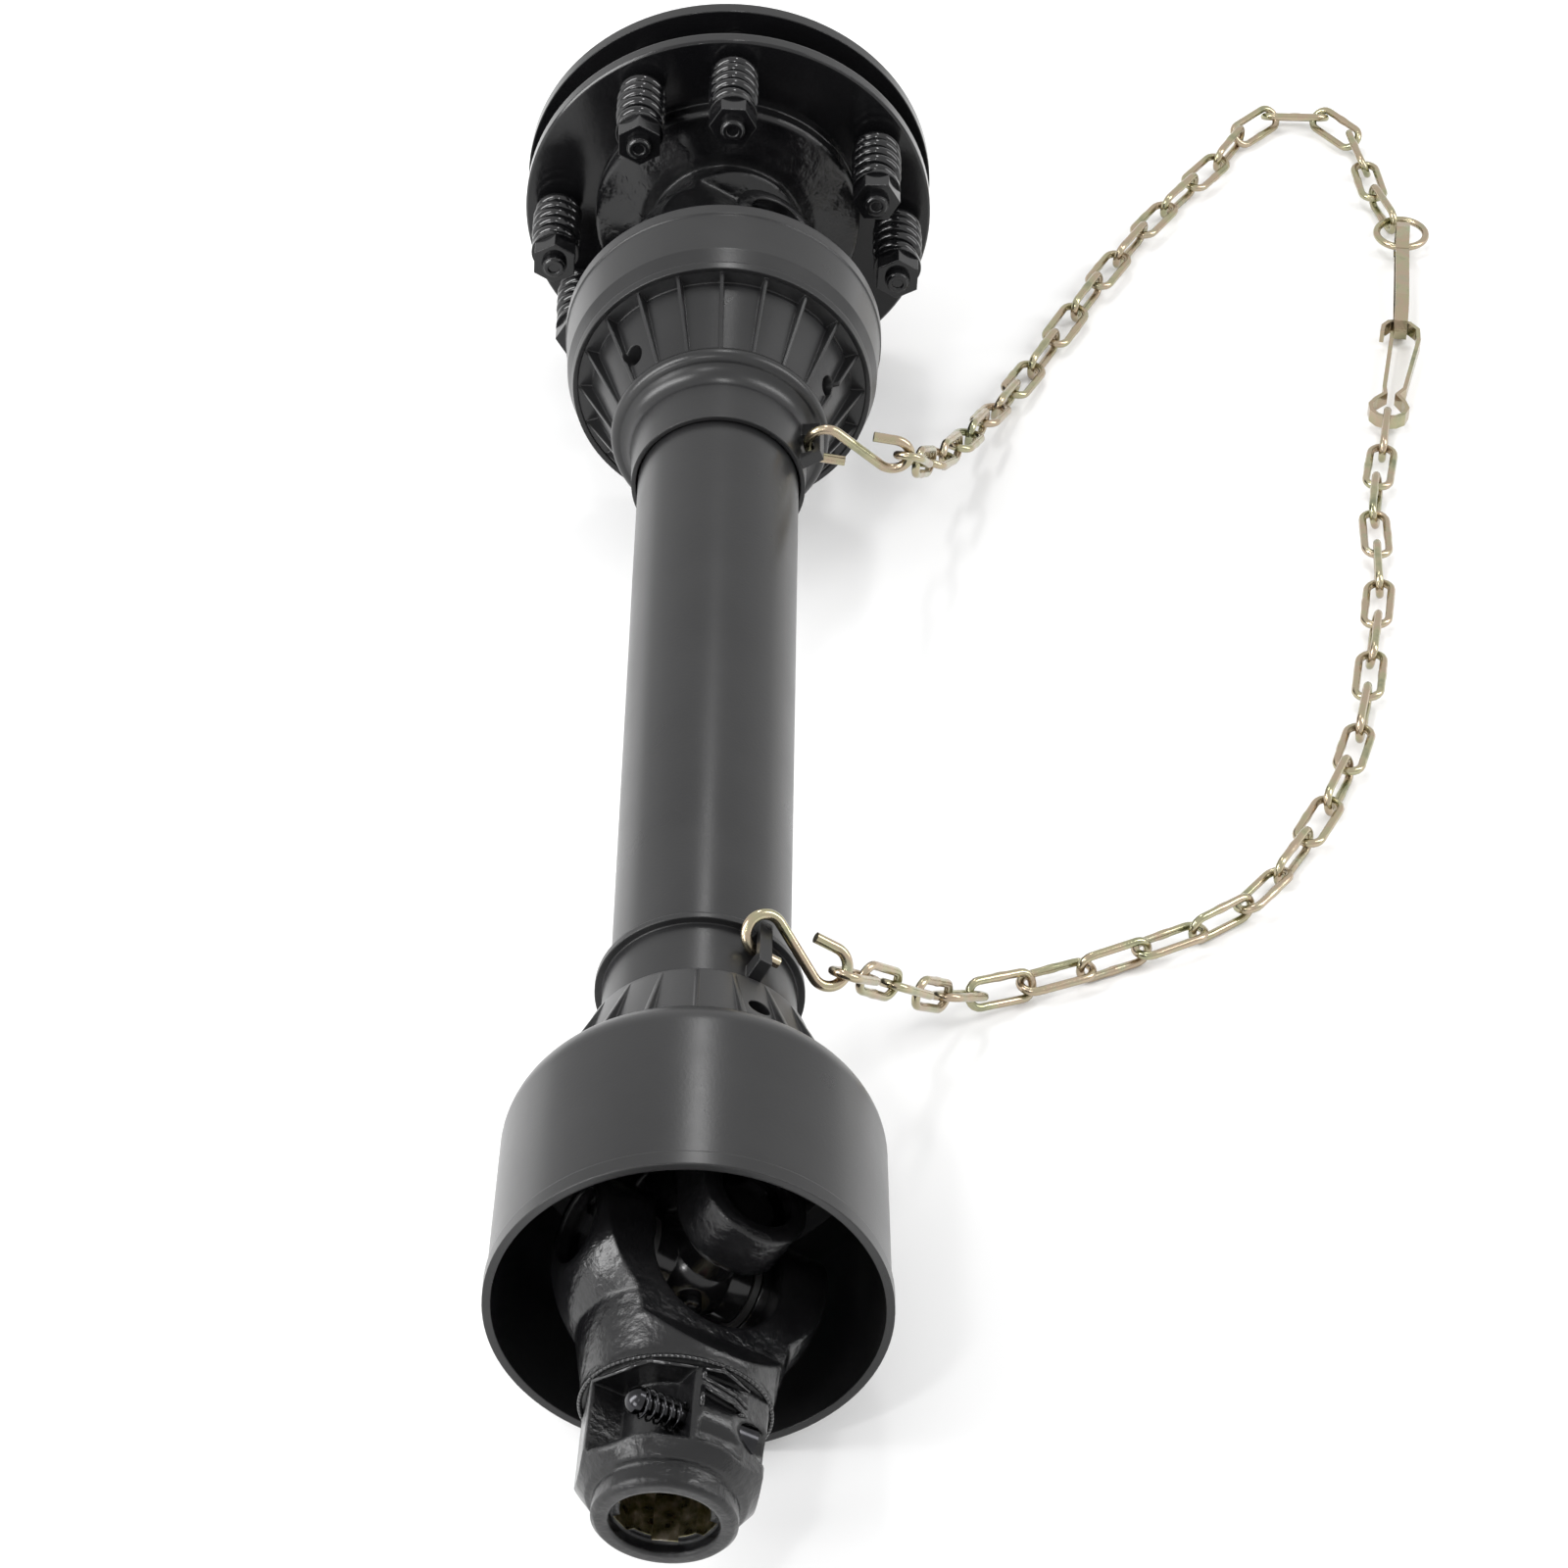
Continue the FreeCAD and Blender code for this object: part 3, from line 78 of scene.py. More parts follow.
# Light: a white sky, dimmer for what it lights than for what shows it, and five lamps
lights = {
    "skyColour": (1.0, 1.0, 1.0, 1.0),
    "skyStrength": 0.85,
    "skyShown": 1.0,
    "lampColour": (1.0, 1.0, 1.0),
    "lamps": [
        # Broad, from the left
        {"place": (-1.65, -0.8, 1.05), "aim": (0.0, -0.45, 0.0), "across": 0.6, "tall": 1.8, "watts": 40.0},
        # Broad and weaker, from the right
        {"place": (1.9, -0.3, 1.3), "aim": (0.0, -0.4, 0.0), "across": 0.6, "tall": 1.8, "watts": 24.0},
        # Narrow, for the streak along the top of the bell and the tube
        {"place": (0.05, 0.18, 0.92), "aim": (0.0, -0.68, 0.07), "across": 0.07, "tall": 0.3, "watts": 1.5},
        # Small, beside the camera, for glints and the bore
        {"place": (-0.45, -1.7, 1.5), "aim": (0.0, -0.6, 0.0), "across": 0.14, "tall": 0.14, "watts": 4.0},
        # Low, from the front left, into the bell and the yoke's windows
        {"place": (-1.1, -1.7, 0.55), "aim": (0.0, -0.7, 0.0), "across": 0.5, "tall": 0.5, "watts": 7.0},
    ],
}


def floorHeight(y):
    slope = (ground["plateR"] - ground["bellRimR"]) / (ground["plateY"] - ground["bellRimY"])
    return -ground["plateR"] - slope * (y - ground["plateY"])


def placeCamera():
    data = bpy.data.cameras.new("photoCamera")
    data.lens = camera["lens"]
    data.sensor_width = camera["sensor"]
    data.clip_end = camera["farthest"]
    body = bpy.data.objects.new("photoCamera", data)
    scene.collection.objects.link(body)
    yaw, pitch, roll = camera["yaw"], camera["pitch"], camera["roll"]
    ahead = Vector((math.sin(yaw) * math.cos(pitch),
                    math.cos(yaw) * math.cos(pitch),
                    -math.sin(pitch)))
    level = Vector((math.cos(yaw), -math.sin(yaw), 0.0))
    above = level.cross(ahead)
    right = level * math.cos(roll) + above * math.sin(roll)
    up = above * math.cos(roll) - level * math.sin(roll)
    turn = Matrix((right, up, -ahead)).transposed().to_4x4()
    body.matrix_world = Matrix.Translation(camera["place"]) @ turn
    scene.camera = body


def placeFloor():
    half = ground["size"] / 2
    corners = [(-half, -half), (half, -half), (half, half), (-half, half)]
    mesh = bpy.data.meshes.new("floor")
    mesh.from_pydata([(x, y, floorHeight(y)) for x, y in corners], [], [(0, 1, 2, 3)])
    floor = bpy.data.objects.new("floor", mesh)
    scene.collection.objects.link(floor)
    material = bpy.data.materials.new("paleFloor")
    material.use_nodes = True
    surface = material.node_tree.nodes["Principled BSDF"]
    surface.inputs["Base Color"].default_value = ground["colour"]
    surface.inputs["Roughness"].default_value = ground["roughness"]
    mesh.materials.append(material)


def larger(nodes, links, first, second):
    most = nodes.new("ShaderNodeMath")
    most.operation = "MAXIMUM"
    links.new(first, most.inputs[0])
    links.new(second, most.inputs[1])
    return most.outputs[0]


def placeSky():
    world = bpy.data.worlds.new("studio")
    scene.world = world
    world.use_nodes = True
    nodes, links = world.node_tree.nodes, world.node_tree.links
    sky = nodes["Background"]
    sky.inputs["Color"].default_value = lights["skyColour"]
    path = nodes.new("ShaderNodeLightPath")
    seen = larger(nodes, links, path.outputs["Is Camera Ray"], path.outputs["Is Glossy Ray"])
    seen = larger(nodes, links, seen, path.outputs["Is Transmission Ray"])
    level = nodes.new("ShaderNodeMapRange")
    level.inputs["To Min"].default_value = lights["skyStrength"]
    level.inputs["To Max"].default_value = lights["skyShown"]
    links.new(seen, level.inputs["Value"])
    links.new(level.outputs["Result"], sky.inputs["Strength"])


def placeLamps():
    for index, look in enumerate(lights["lamps"]):
        data = bpy.data.lights.new("lamp%d" % index, "AREA")
        data.shape = "RECTANGLE"
        data.size = look["across"]
        data.size_y = look["tall"]
        data.energy = look["watts"]
        data.color = lights["lampColour"]
        lamp = bpy.data.objects.new("lamp%d" % index, data)
        scene.collection.objects.link(lamp)
        lamp.location = look["place"]
        toAim = Vector(look["aim"]) - Vector(look["place"])
        lamp.rotation_euler = toAim.to_track_quat("-Z", "Y").to_euler()


placeCamera()
placeFloor()
placeSky()
placeLamps()
print("camera, floor and lights are up")

# Materials: noise in a piece's own space mottles its colour, roughness and relief
texture = {
    "noiseRoughness": 0.55,
    "patchDetail": 4.0,
    "grainDetail": 6.0,
    "patchRange": (0.3, 0.7),
    "calmRange": (0.45, 0.6),  # of the patches, from smooth to rough on a patchy finish
    "calmBump": (0.1, 1.0),
    "edgeSamples": 6,
}


def grain(nodes, links, scale, detail):
    place = nodes.new("ShaderNodeTexCoord")
    noise = nodes.new("ShaderNodeTexNoise")
    noise.inputs["Scale"].default_value = scale
    noise.inputs["Detail"].default_value = detail
    noise.inputs["Roughness"].default_value = texture["noiseRoughness"]
    links.new(place.outputs["Object"], noise.inputs["Vector"])
    return noise.outputs["Fac"]


def ramp(nodes, links, source, stops):
    curve = nodes.new("ShaderNodeValToRGB")
    elements = curve.color_ramp.elements
    while len(elements) < len(stops):
        elements.new(0.5)
    for element, (place, colour) in zip(elements, stops):
        element.position = place
        element.color = colour
    links.new(source, curve.inputs["Fac"])
    return curve.outputs["Color"]


def span(nodes, links, source, fromRange, toRange):
    move = nodes.new("ShaderNodeMapRange")
    move.inputs["From Min"].default_value = fromRange[0]
    move.inputs["From Max"].default_value = fromRange[1]
    move.inputs["To Min"].default_value = toRange[0]
    move.inputs["To Max"].default_value = toRange[1]
    links.new(source, move.inputs["Value"])
    return move.outputs["Result"]


# One material: patches of colour and roughness, a fine grain, and edges worn round
def makeFinish(name, look):
    material = bpy.data.materials.new(name)
    material.use_nodes = True
    nodes, links = material.node_tree.nodes, material.node_tree.links
    surface = nodes["Principled BSDF"]
    surface.inputs["Metallic"].default_value = look["metallic"]
    surface.inputs["Specular IOR Level"].default_value = look.get("specular", 0.5)
    broad = grain(nodes, links, look["patchScale"], texture["patchDetail"])
    fine = grain(nodes, links, look["grainScale"], texture["grainDetail"])
    roughness = span(nodes, links, broad, texture["patchRange"], look["roughness"])
    links.new(ramp(nodes, links, broad, look["colours"]), surface.inputs["Base Color"])
    links.new(roughness, surface.inputs["Roughness"])
    relief = nodes.new("ShaderNodeBump")
    relief.inputs["Strength"].default_value = look["bump"]
    relief.inputs["Distance"].default_value = look["bumpDepth"]
    if look.get("patchy"):
        rough = nodes.new("ShaderNodeMath")
        rough.operation = "MULTIPLY"
        links.new(fine, rough.inputs[0])
        links.new(span(nodes, links, broad, texture["calmRange"], texture["calmBump"]), rough.inputs[1])
        links.new(rough.outputs[0], relief.inputs["Height"])
    else:
        links.new(fine, relief.inputs["Height"])
    if look.get("edge"):
        edge = nodes.new("ShaderNodeBevel")
        edge.samples = texture["edgeSamples"]
        edge.inputs["Radius"].default_value = look["edge"]
        links.new(edge.outputs["Normal"], relief.inputs["Normal"])
    links.new(relief.outputs["Normal"], surface.inputs["Normal"])
    return material


paintBlack = (0.0035, 0.0035, 0.004, 1)
paintRough = (0.007, 0.007, 0.0075, 1)
paintSmooth = (0.006, 0.006, 0.0065, 1)

# Lengths in metres; "edge" is the radius of a worn edge, and a colour stands at its place in the noise
finishes = {
    "guardPlastic": {"metallic": 0.0, "specular": 0.42, "patchScale": 25.0, "grainScale": 900.0,
                     "roughness": (0.27, 0.33), "bump": 0.15, "bumpDepth": 0.0002, "edge": 0.0009,
                     "colours": [(0.3, (0.009, 0.009, 0.0095, 1)), (0.7, (0.013, 0.013, 0.0135, 1))]},
    "innerPlastic": {"metallic": 0.0, "patchScale": 25.0, "grainScale": 900.0,
                     "roughness": (0.4, 0.5), "bump": 0.1, "bumpDepth": 0.0002,
                     "colours": [(0.3, (0.010, 0.010, 0.011, 1)), (0.7, (0.015, 0.015, 0.016, 1))]},
    "nylonWhite": {"metallic": 0.0, "patchScale": 30.0, "grainScale": 500.0,
                   "roughness": (0.4, 0.5), "bump": 0.1, "bumpDepth": 0.0002,
                   "colours": [(0.3, (0.66, 0.64, 0.58, 1)), (0.7, (0.72, 0.70, 0.64, 1))]},
    "blackPaint": {"metallic": 0.0, "specular": 0.4, "patchScale": 60.0, "grainScale": 260.0,
                   "roughness": (0.1, 0.26), "bump": 0.35, "bumpDepth": 0.0012, "edge": 0.002,
                   "colours": [(0.3, paintBlack), (0.7, paintRough)]},
    "castPaint": {"metallic": 0.0, "specular": 0.45, "patchScale": 45.0, "grainScale": 220.0,
                  "roughness": (0.08, 0.3), "bump": 0.5, "bumpDepth": 0.0012, "edge": 0.002,
                  "patchy": True,
                  "colours": [(0.3, paintBlack), (0.7, paintRough)]},
    "plainPaint": {"metallic": 0.0, "specular": 0.42, "patchScale": 30.0, "grainScale": 400.0,
                   "roughness": (0.12, 0.2), "bump": 0.1, "bumpDepth": 0.0003, "edge": 0.0008,
                   "colours": [(0.3, paintBlack), (0.7, paintSmooth)]},
    "springPaint": {"metallic": 0.0, "specular": 0.5, "patchScale": 30.0, "grainScale": 400.0,
                    "roughness": (0.1, 0.16), "bump": 0.05, "bumpDepth": 0.0002,
                    "colours": [(0.3, paintBlack), (0.7, paintSmooth)]},
    "bareSteel": {"metallic": 1.0, "patchScale": 90.0, "grainScale": 700.0,
                  "roughness": (0.25, 0.4), "bump": 0.15, "bumpDepth": 0.0003, "edge": 0.0005,
                  "colours": [(0.25, (0.13, 0.10, 0.06, 1)), (0.5, (0.30, 0.25, 0.17, 1)),
                              (0.75, (0.45, 0.40, 0.32, 1))]},
    # Bare spline steel with painted light: brighter than bareSteel to make up for the shade deep in the
    # bore, its lightest stop painting near-white highlight spots on the teeth
    "splineSteelPaintedLight": {"metallic": 1.0, "patchScale": 170.0, "grainScale": 700.0,
                    "roughness": (0.22, 0.4), "bump": 0.4, "bumpDepth": 0.0005, "edge": 0.0005,
                    "colours": [(0.32, (0.10, 0.09, 0.05, 1)), (0.48, (0.36, 0.33, 0.19, 1)),
                                (0.6, (0.62, 0.55, 0.42, 1)), (0.7, (0.85, 0.8, 0.72, 1))]},
    "bluedSteel": {"metallic": 1.0, "patchScale": 60.0, "grainScale": 700.0,
                   "roughness": (0.14, 0.24), "bump": 0.1, "bumpDepth": 0.0002,
                   "colours": [(0.3, (0.02, 0.02, 0.022, 1)), (0.7, (0.05, 0.05, 0.053, 1))]},
    "tubeSteel": {"metallic": 1.0, "patchScale": 40.0, "grainScale": 500.0,
                  "roughness": (0.3, 0.42), "bump": 0.1, "bumpDepth": 0.0002,
                  "colours": [(0.3, (0.32, 0.31, 0.29, 1)), (0.7, (0.42, 0.41, 0.39, 1))]},
    "sealRubber": {"metallic": 0.0, "patchScale": 60.0, "grainScale": 900.0,
                   "roughness": (0.5, 0.6), "bump": 0.1, "bumpDepth": 0.0002,
                   "colours": [(0.3, (0.012, 0.012, 0.012, 1)), (0.7, (0.02, 0.02, 0.02, 1))]},
    "zincWhite": {"metallic": 1.0, "patchScale": 90.0, "grainScale": 900.0,
                  "roughness": (0.24, 0.36), "bump": 0.1, "bumpDepth": 0.0001,
                  "colours": [(0.3, (0.45, 0.43, 0.38, 1)), (0.7, (0.60, 0.58, 0.54, 1))]},
    "zincGold": {"metallic": 1.0, "patchScale": 75.0, "grainScale": 1200.0,
                 "roughness": (0.14, 0.28), "bump": 0.15, "bumpDepth": 0.0003,
                 "colours": [(0.28, (0.24, 0.25, 0.16, 1)), (0.42, (0.38, 0.36, 0.23, 1)),
                             (0.56, (0.42, 0.33, 0.24, 1)), (0.72, (0.34, 0.35, 0.24, 1))]},
    "capRed": {"metallic": 0.0, "patchScale": 90.0, "grainScale": 900.0,
               "roughness": (0.3, 0.4), "bump": 0.05, "bumpDepth": 0.0001,
               "colours": [(0.3, (0.50, 0.02, 0.015, 1)), (0.7, (0.62, 0.03, 0.02, 1))]},
    "friction": {"metallic": 0.0, "patchScale": 200.0, "grainScale": 900.0,
                 "roughness": (0.7, 0.85), "bump": 0.3, "bumpDepth": 0.0003,
                 "colours": [(0.3, (0.03, 0.027, 0.024, 1)), (0.7, (0.055, 0.05, 0.045, 1))]},
    "bronze": {"metallic": 1.0, "patchScale": 90.0, "grainScale": 900.0,
               "roughness": (0.35, 0.45), "bump": 0.1, "bumpDepth": 0.0001,
               "colours": [(0.3, (0.45, 0.28, 0.13, 1)), (0.7, (0.55, 0.36, 0.18, 1))]},
}
made = {name: makeFinish(name, look) for name, look in finishes.items()}

slotFinish = {
    "black_guard": "guardPlastic", "inner_guard": "innerPlastic", "nylon": "nylonWhite",
    "black_paint": "blackPaint", "bare_steel": "bareSteel", "black_springs": "plainPaint",
    "spring_steel": "bluedSteel", "tube_steel": "tubeSteel", "seal": "sealRubber",
    "zinc": "zincWhite", "cap": "capRed", "yellow_zinc": "zincGold",
    "friction": "friction", "bronze": "bronze",
}
# The clutch yoke is the roughest casting; the pressed plate is smooth, and so are the crosses
# and their cups, which were painted over with the forks
nodeFinish = {
    "clutch_yoke": "castPaint", "rear_pressure_plate": "plainPaint",
    "end_yoke_cups": "plainPaint", "near_tube_yoke_cups": "plainPaint",
    "far_tube_yoke_cups": "plainPaint", "clutch_yoke_cups": "plainPaint",
    "near_cross": "plainPaint", "far_cross": "plainPaint", "near_grease_nipple": "plainPaint",
}
slotOf = {entry["node"]: entry["material_slot"] for entry in frame["record"]["subparts"]}
for nodeName, piece in frame["nodes"].items():
    piece.data.materials.clear()
    piece.data.materials.append(made[nodeFinish.get(nodeName, slotFinish[slotOf[nodeName]])])


# A second finish on the faces of a node whose points all pass a test
def finishFaces(nodeName, finish, passes):
    node = frame["nodes"][nodeName]
    node.data.materials.append(made[finish])
    passed = [passes(node.matrix_world @ vertex.co) for vertex in node.data.vertices]
    for face in node.data.polygons:
        if all(passed[index] for index in face.vertices):
            face.material_index = 1


mounts = frame["record"]["mounts"]
tractorEnd = next(entry for entry in mounts if entry["name"] == "tractor_spline")
boreMiddle, boreLine = Vector(tractorEnd["pos_m"]), Vector(tractorEnd["axis"]).normalized()

# Where the bare bore of the end yoke and the rough casting of the clutch yoke end
finishEnds = {"boreR": 17.9 * mm, "castY": -76.5 * mm}


# Distance of a point from a line through another
def distanceFrom(origin, line, point):
    away = point - origin
    return (away - line * away.dot(line)).length


def inBore(point):
    return distanceFrom(boreMiddle, boreLine, point) < finishEnds["boreR"]


def onPlate(point):
    return point.y > finishEnds["castY"]


# The splines stay bare inside the painted forging, their steel painted brighter to stand in for light in
# the shaded bore, and the clutch plate is smoother than its yoke
finishFaces("end_yoke", "splineSteelPaintedLight", inBore)
finishFaces("clutch_yoke", "plainPaint", onPlate)
print("finishes are on")


# Building blocks
def addPiece(name, points, faces, finish, smooth=True):
    mesh = bpy.data.meshes.new(name)
    mesh.from_pydata([tuple(point) for point in points], [], faces)
    mesh.polygons.foreach_set("use_smooth", [smooth] * len(mesh.polygons))
    mesh.materials.append(made[finish])
    piece = bpy.data.objects.new(name, mesh)
    scene.collection.objects.link(piece)
    return piece


def joined(groups):
    points, faces = [], []
    for more, moreFaces in groups:
        first = len(points)
        points.extend(more)
        faces.extend(tuple(first + corner for corner in face) for face in moreFaces)
    return points, faces


# Direction at an angle round a line, from two directions across it
def spoke(side, up, angle):
    return side * math.cos(angle) + up * math.sin(angle)


# Round wire along a line of points, its thickness free to change from point to point
def wire(path, radii, sides, closed):
    count = len(path)
    points, faces = [], []
    side = None
    for index, here in enumerate(path):
        before = path[index - 1] if closed or index else here
        after = path[(index + 1) % count] if closed or index < count - 1 else here
        along = (after - before).normalized()
        if side is None:
            side = along.orthogonal().normalized()
        side = (side - along * side.dot(along)).normalized()
        up = along.cross(side)
        for step in range(sides):
            angle = 2 * math.pi * step / sides
            points.append(here + spoke(side, up, angle) * radii[index])
    for ring in range(count if closed else count - 1):
        thisRing, nextRing = ring * sides, (ring + 1) % count * sides
        for step in range(sides):
            after = (step + 1) % sides
            faces.append((thisRing + step, thisRing + after, nextRing + after, nextRing + step))
    if not closed:
        faces.append(tuple(range(sides - 1, -1, -1)))
        faces.append(tuple(range((count - 1) * sides, count * sides)))
    return points, faces


# Shape turned about a line from (radius, distance) points
def lathe(origin, axis, profile, steps):
    side = axis.orthogonal().normalized()
    up = axis.cross(side)
    points, faces = [], []
    for radius, distance in profile:
        for step in range(steps):
            angle = 2 * math.pi * step / steps
            points.append(origin + axis * distance + spoke(side, up, angle) * radius)
    for ring in range(len(profile) - 1):
        for step in range(steps):
            a, b = ring * steps + step, ring * steps + (step + 1) % steps
            faces.append((a, a + steps, b + steps, b))
    return points, faces


# Middle line of a coil from start to end along a line; radiusAt takes the share of the way
def helix(origin, line, across, start, end, coil, radiusAt):
    side, up = across
    steps = int(coil["turns"] * coil["stepsPerTurn"])
    path = []
    for step in range(steps + 1):
        angle = 2 * math.pi * step / coil["stepsPerTurn"]
        share = step / steps
        middle = origin + line * (start + (end - start) * share)
        path.append(middle + spoke(side, up, angle) * radiusAt(share))
    return path


# Decimals of a metre to which two points count as one
sameSpot = {"solids": 7, "edges": 6}


# The separate solids of a CAD node, each as an array of its points
def solidsOf(nodeName):
    node = frame["nodes"][nodeName]
    place = numpy.array(node.matrix_world)
    flat = numpy.empty(len(node.data.vertices) * 3)
    node.data.vertices.foreach_get("co", flat)
    points = flat.reshape(-1, 3) @ place[:3, :3].T + place[:3, 3]
    near = numpy.round(points, sameSpot["solids"])
    keys, merged = numpy.unique(near, axis=0, return_inverse=True)
    merged = merged.reshape(-1)
    group = list(range(len(keys)))

    def root(index):
        while group[index] != index:
            group[index] = group[group[index]]
            index = group[index]
        return index

    for edge in node.data.edges:
        a, b = root(merged[edge.vertices[0]]), root(merged[edge.vertices[1]])
        if a != b:
            group[b] = a
    lots = {}
    for index in range(len(keys)):
        lots.setdefault(root(index), []).append(index)
    return [keys[lot] for lot in lots.values()]


# Middle of a solid and its own three directions and sizes, the longest first
def ownFrame(points):
    centre = points.mean(axis=0)
    vectors = numpy.linalg.eigh(numpy.cov((points - centre).T))[1]
    lines = [Vector(vectors[:, index]) for index in (2, 1, 0)]
    reach = [(points - centre) @ numpy.array(line) for line in lines]
    middle = Vector(centre)
    for line, extent in zip(lines, reach):
        middle += line * float((extent.max() + extent.min()) / 2)
    sizes = [float(extent.max() - extent.min()) for extent in reach]
    return middle, lines, sizes


# Chain: bent round wire, its ends welded together half-way along one side. The weld swells the
# wire, and faces the other way on one link of three.
linkShape = {"wire": 3.3 * mm, "width": 13.4 * mm, "sides": 12, "bendSteps": 10, "barSteps": 9,
             "weldSwell": 1.18, "weldLength": 1.5 * mm, "flipEvery": 3, "flipAt": 1}


def linkPath(length):
    wireR = linkShape["wire"] / 2
    radius = (linkShape["width"] - linkShape["wire"]) / 2
    half = (length - linkShape["width"]) / 2
    path, radii = [], []
    for side in (1, -1):
        for index in range(linkShape["bendSteps"] + 1):
            angle = -math.pi / 2 + math.pi * index / linkShape["bendSteps"]
            x, y = half + radius * math.cos(angle), radius * math.sin(angle)
            path.append(Vector((side * x, side * y, 0)))
            radii.append(wireR)
        for index in range(1, linkShape["barSteps"]):
            at = 1 - 2 * index / linkShape["barSteps"]
            nearWeld = math.exp(-((at * half / linkShape["weldLength"]) ** 2))
            path.append(Vector((side * at * half, side * radius, 0)))
            radii.append(wireR * (1 + (linkShape["weldSwell"] - 1) * nearWeld * (side > 0)))
    return path, radii


def dressChain(nodeName, bodyName, pieceName):
    groups = []
    for index, solid in enumerate(solidsOf(nodeName)):
        middle, lines, sizes = ownFrame(solid)
        along, across = lines[:2]
        if index % linkShape["flipEvery"] == linkShape["flipAt"]:
            across = -across
        path, radii = linkPath(sizes[0])
        placed = [middle + along * point.x + across * point.y for point in path]
        groups.append(wire(placed, radii, linkShape["sides"], True))
    points, faces = joined(groups)
    chain = addPiece(pieceName, points, faces, "zincGold")
    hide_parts(nodeName)
    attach(chain, bodyName)


dressChain("near_chain", "near_guard", "nearChainWire")
dressChain("far_chain", "far_guard", "farChainWire")
print("chains are wired")

# Clutch springs: heavy round wire, drawn in a little at both ends
coils = {"turns": 4.8, "wire": 4.7 * mm, "endShrink": 1.3 * mm, "endPower": 4, "sides": 12,
         "stepsPerTurn": 28}


def dressSprings():
    groups = []
    wireR = coils["wire"] / 2
    across = (Vector((1, 0, 0)), Vector((0, 0, 1)))
    for solid in solidsOf("clutch_springs"):
        low, high = solid.min(axis=0), solid.max(axis=0)
        radius = (high[0] - low[0]) / 2 - wireR
        origin = Vector(((low[0] + high[0]) / 2, 0, (low[2] + high[2]) / 2))

        def radiusAt(share):
            return radius - coils["endShrink"] * (2 * share - 1) ** coils["endPower"]

        path = helix(origin, Vector((0, 1, 0)), across, low[1] + wireR, high[1] - wireR,
                     coils, radiusAt)
        groups.append(wire(path, [wireR] * len(path), coils["sides"], False))
    points, faces = joined(groups)
    springs = addPiece("clutchSprings", points, faces, "springPaint")
    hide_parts("clutch_springs")
    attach(springs, "clutch_drive")


dressSprings()
print("springs are wound")

# Threaded ends of the clutch bolts past their nuts, with a hollow in each end
boltEnd = {"radius": 4.95 * mm, "root": 4.45 * mm, "pitch": 1.5 * mm, "turns": 3,
           "chamfer": 0.5 * mm, "hollowR": 2.6 * mm, "hollowEase": 0.3 * mm,
           "hollowTaper": 0.4 * mm, "hollowDepth": 1.5 * mm, "startBack": 4.3 * mm,
           "middleR": 0.1 * mm, "steps": 24}


# Half-section of a bolt end, by radius and distance from its start
def boltProfile():
    root, hollowR = boltEnd["root"], boltEnd["hollowR"]
    profile = [(boltEnd["middleR"], 0.0)]
    for turn in range(boltEnd["turns"]):
        profile.append((root, turn * boltEnd["pitch"]))
        profile.append((boltEnd["radius"], (turn + 0.5) * boltEnd["pitch"]))
    threadEnd = boltEnd["turns"] * boltEnd["pitch"]
    faceAt = threadEnd + boltEnd["chamfer"]
    hollowEnd = threadEnd - boltEnd["hollowDepth"]
    return profile + [
        (root, threadEnd),
        (root - boltEnd["chamfer"], faceAt),
        (hollowR, faceAt),
        (hollowR - boltEnd["hollowEase"], faceAt - boltEnd["hollowEase"]),
        (hollowR - boltEnd["hollowTaper"], hollowEnd),
        (boltEnd["middleR"], hollowEnd),
    ]


def dressBolts():
    profile = boltProfile()
    groups = []
    for solid in solidsOf("clutch_bolts"):
        low, high = solid.min(axis=0), solid.max(axis=0)
        origin = Vector(((low[0] + high[0]) / 2, low[1] + boltEnd["startBack"],
                         (low[2] + high[2]) / 2))
        groups.append(lathe(origin, Vector((0, -1, 0)), profile, boltEnd["steps"]))
    points, faces = joined(groups)
    ends = addPiece("clutchBoltEnds", points, faces, "plainPaint", smooth=False)
    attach(ends, "clutch_drive")


dressBolts()
print("bolt ends are cut")

# Coil of the release pin, wound along the pin's line
releaseCoil = {"radius": 4.9 * mm, "wire": 1.0 * mm, "turns": 5.0, "sides": 8, "stepsPerTurn": 24}
joints = frame["record"]["behaviour"]["joints"]
pinPush = next(joint for joint in joints if joint["name"] == "pin_push")
pinLine = Vector(pinPush["axis"]).normalized()
pinMiddle = ownFrame(solidsOf("release_pin")[0])[0]


def dressReleaseCoil():
    along = [Vector(point).dot(pinLine) for point in solidsOf("release_spring")[0]]
    middleAt = pinMiddle.dot(pinLine)
    start, end = min(along) - middleAt, max(along) - middleAt
    side = pinLine.orthogonal().normalized()
    across = (side, pinLine.cross(side))
    wireR = releaseCoil["wire"] / 2
    path = helix(pinMiddle, pinLine, across, start + wireR, end - wireR, releaseCoil,
                 lambda share: releaseCoil["radius"])
    points, faces = wire(path, [wireR] * len(path), releaseCoil["sides"], False)
    coil = addPiece("releaseCoil", points, faces, "bluedSteel")
    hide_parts("release_spring")
    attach(coil, "end_yoke")
    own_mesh(coil)
    print("release coil is %.1f mm long" % ((end - start) / mm))


dressReleaseCoil()

# Rolled rims round the windows of the end yoke: thin beads with a ball at each corner, on the
# edges between front and back of the nose's mouth, outside innerR and clear of the pin
windowRim = {"radius": 0.8 * mm, "sharpness": 0.75, "front": 12.0 * mm, "back": 41.0 * mm,
             "innerR": 23.0 * mm, "shortest": 8.0 * mm, "pinRoom": 8.0 * mm, "sides": 10,
             "ballSteps": 6, "poleShare": 0.01}


def onRim(point):
    back = -(point - boreMiddle).dot(boreLine)
    out = distanceFrom(boreMiddle, boreLine, point)
    placed = windowRim["front"] < back < windowRim["back"] and out > windowRim["innerR"]
    return placed and distanceFrom(pinMiddle, pinLine, point) > windowRim["pinRoom"]


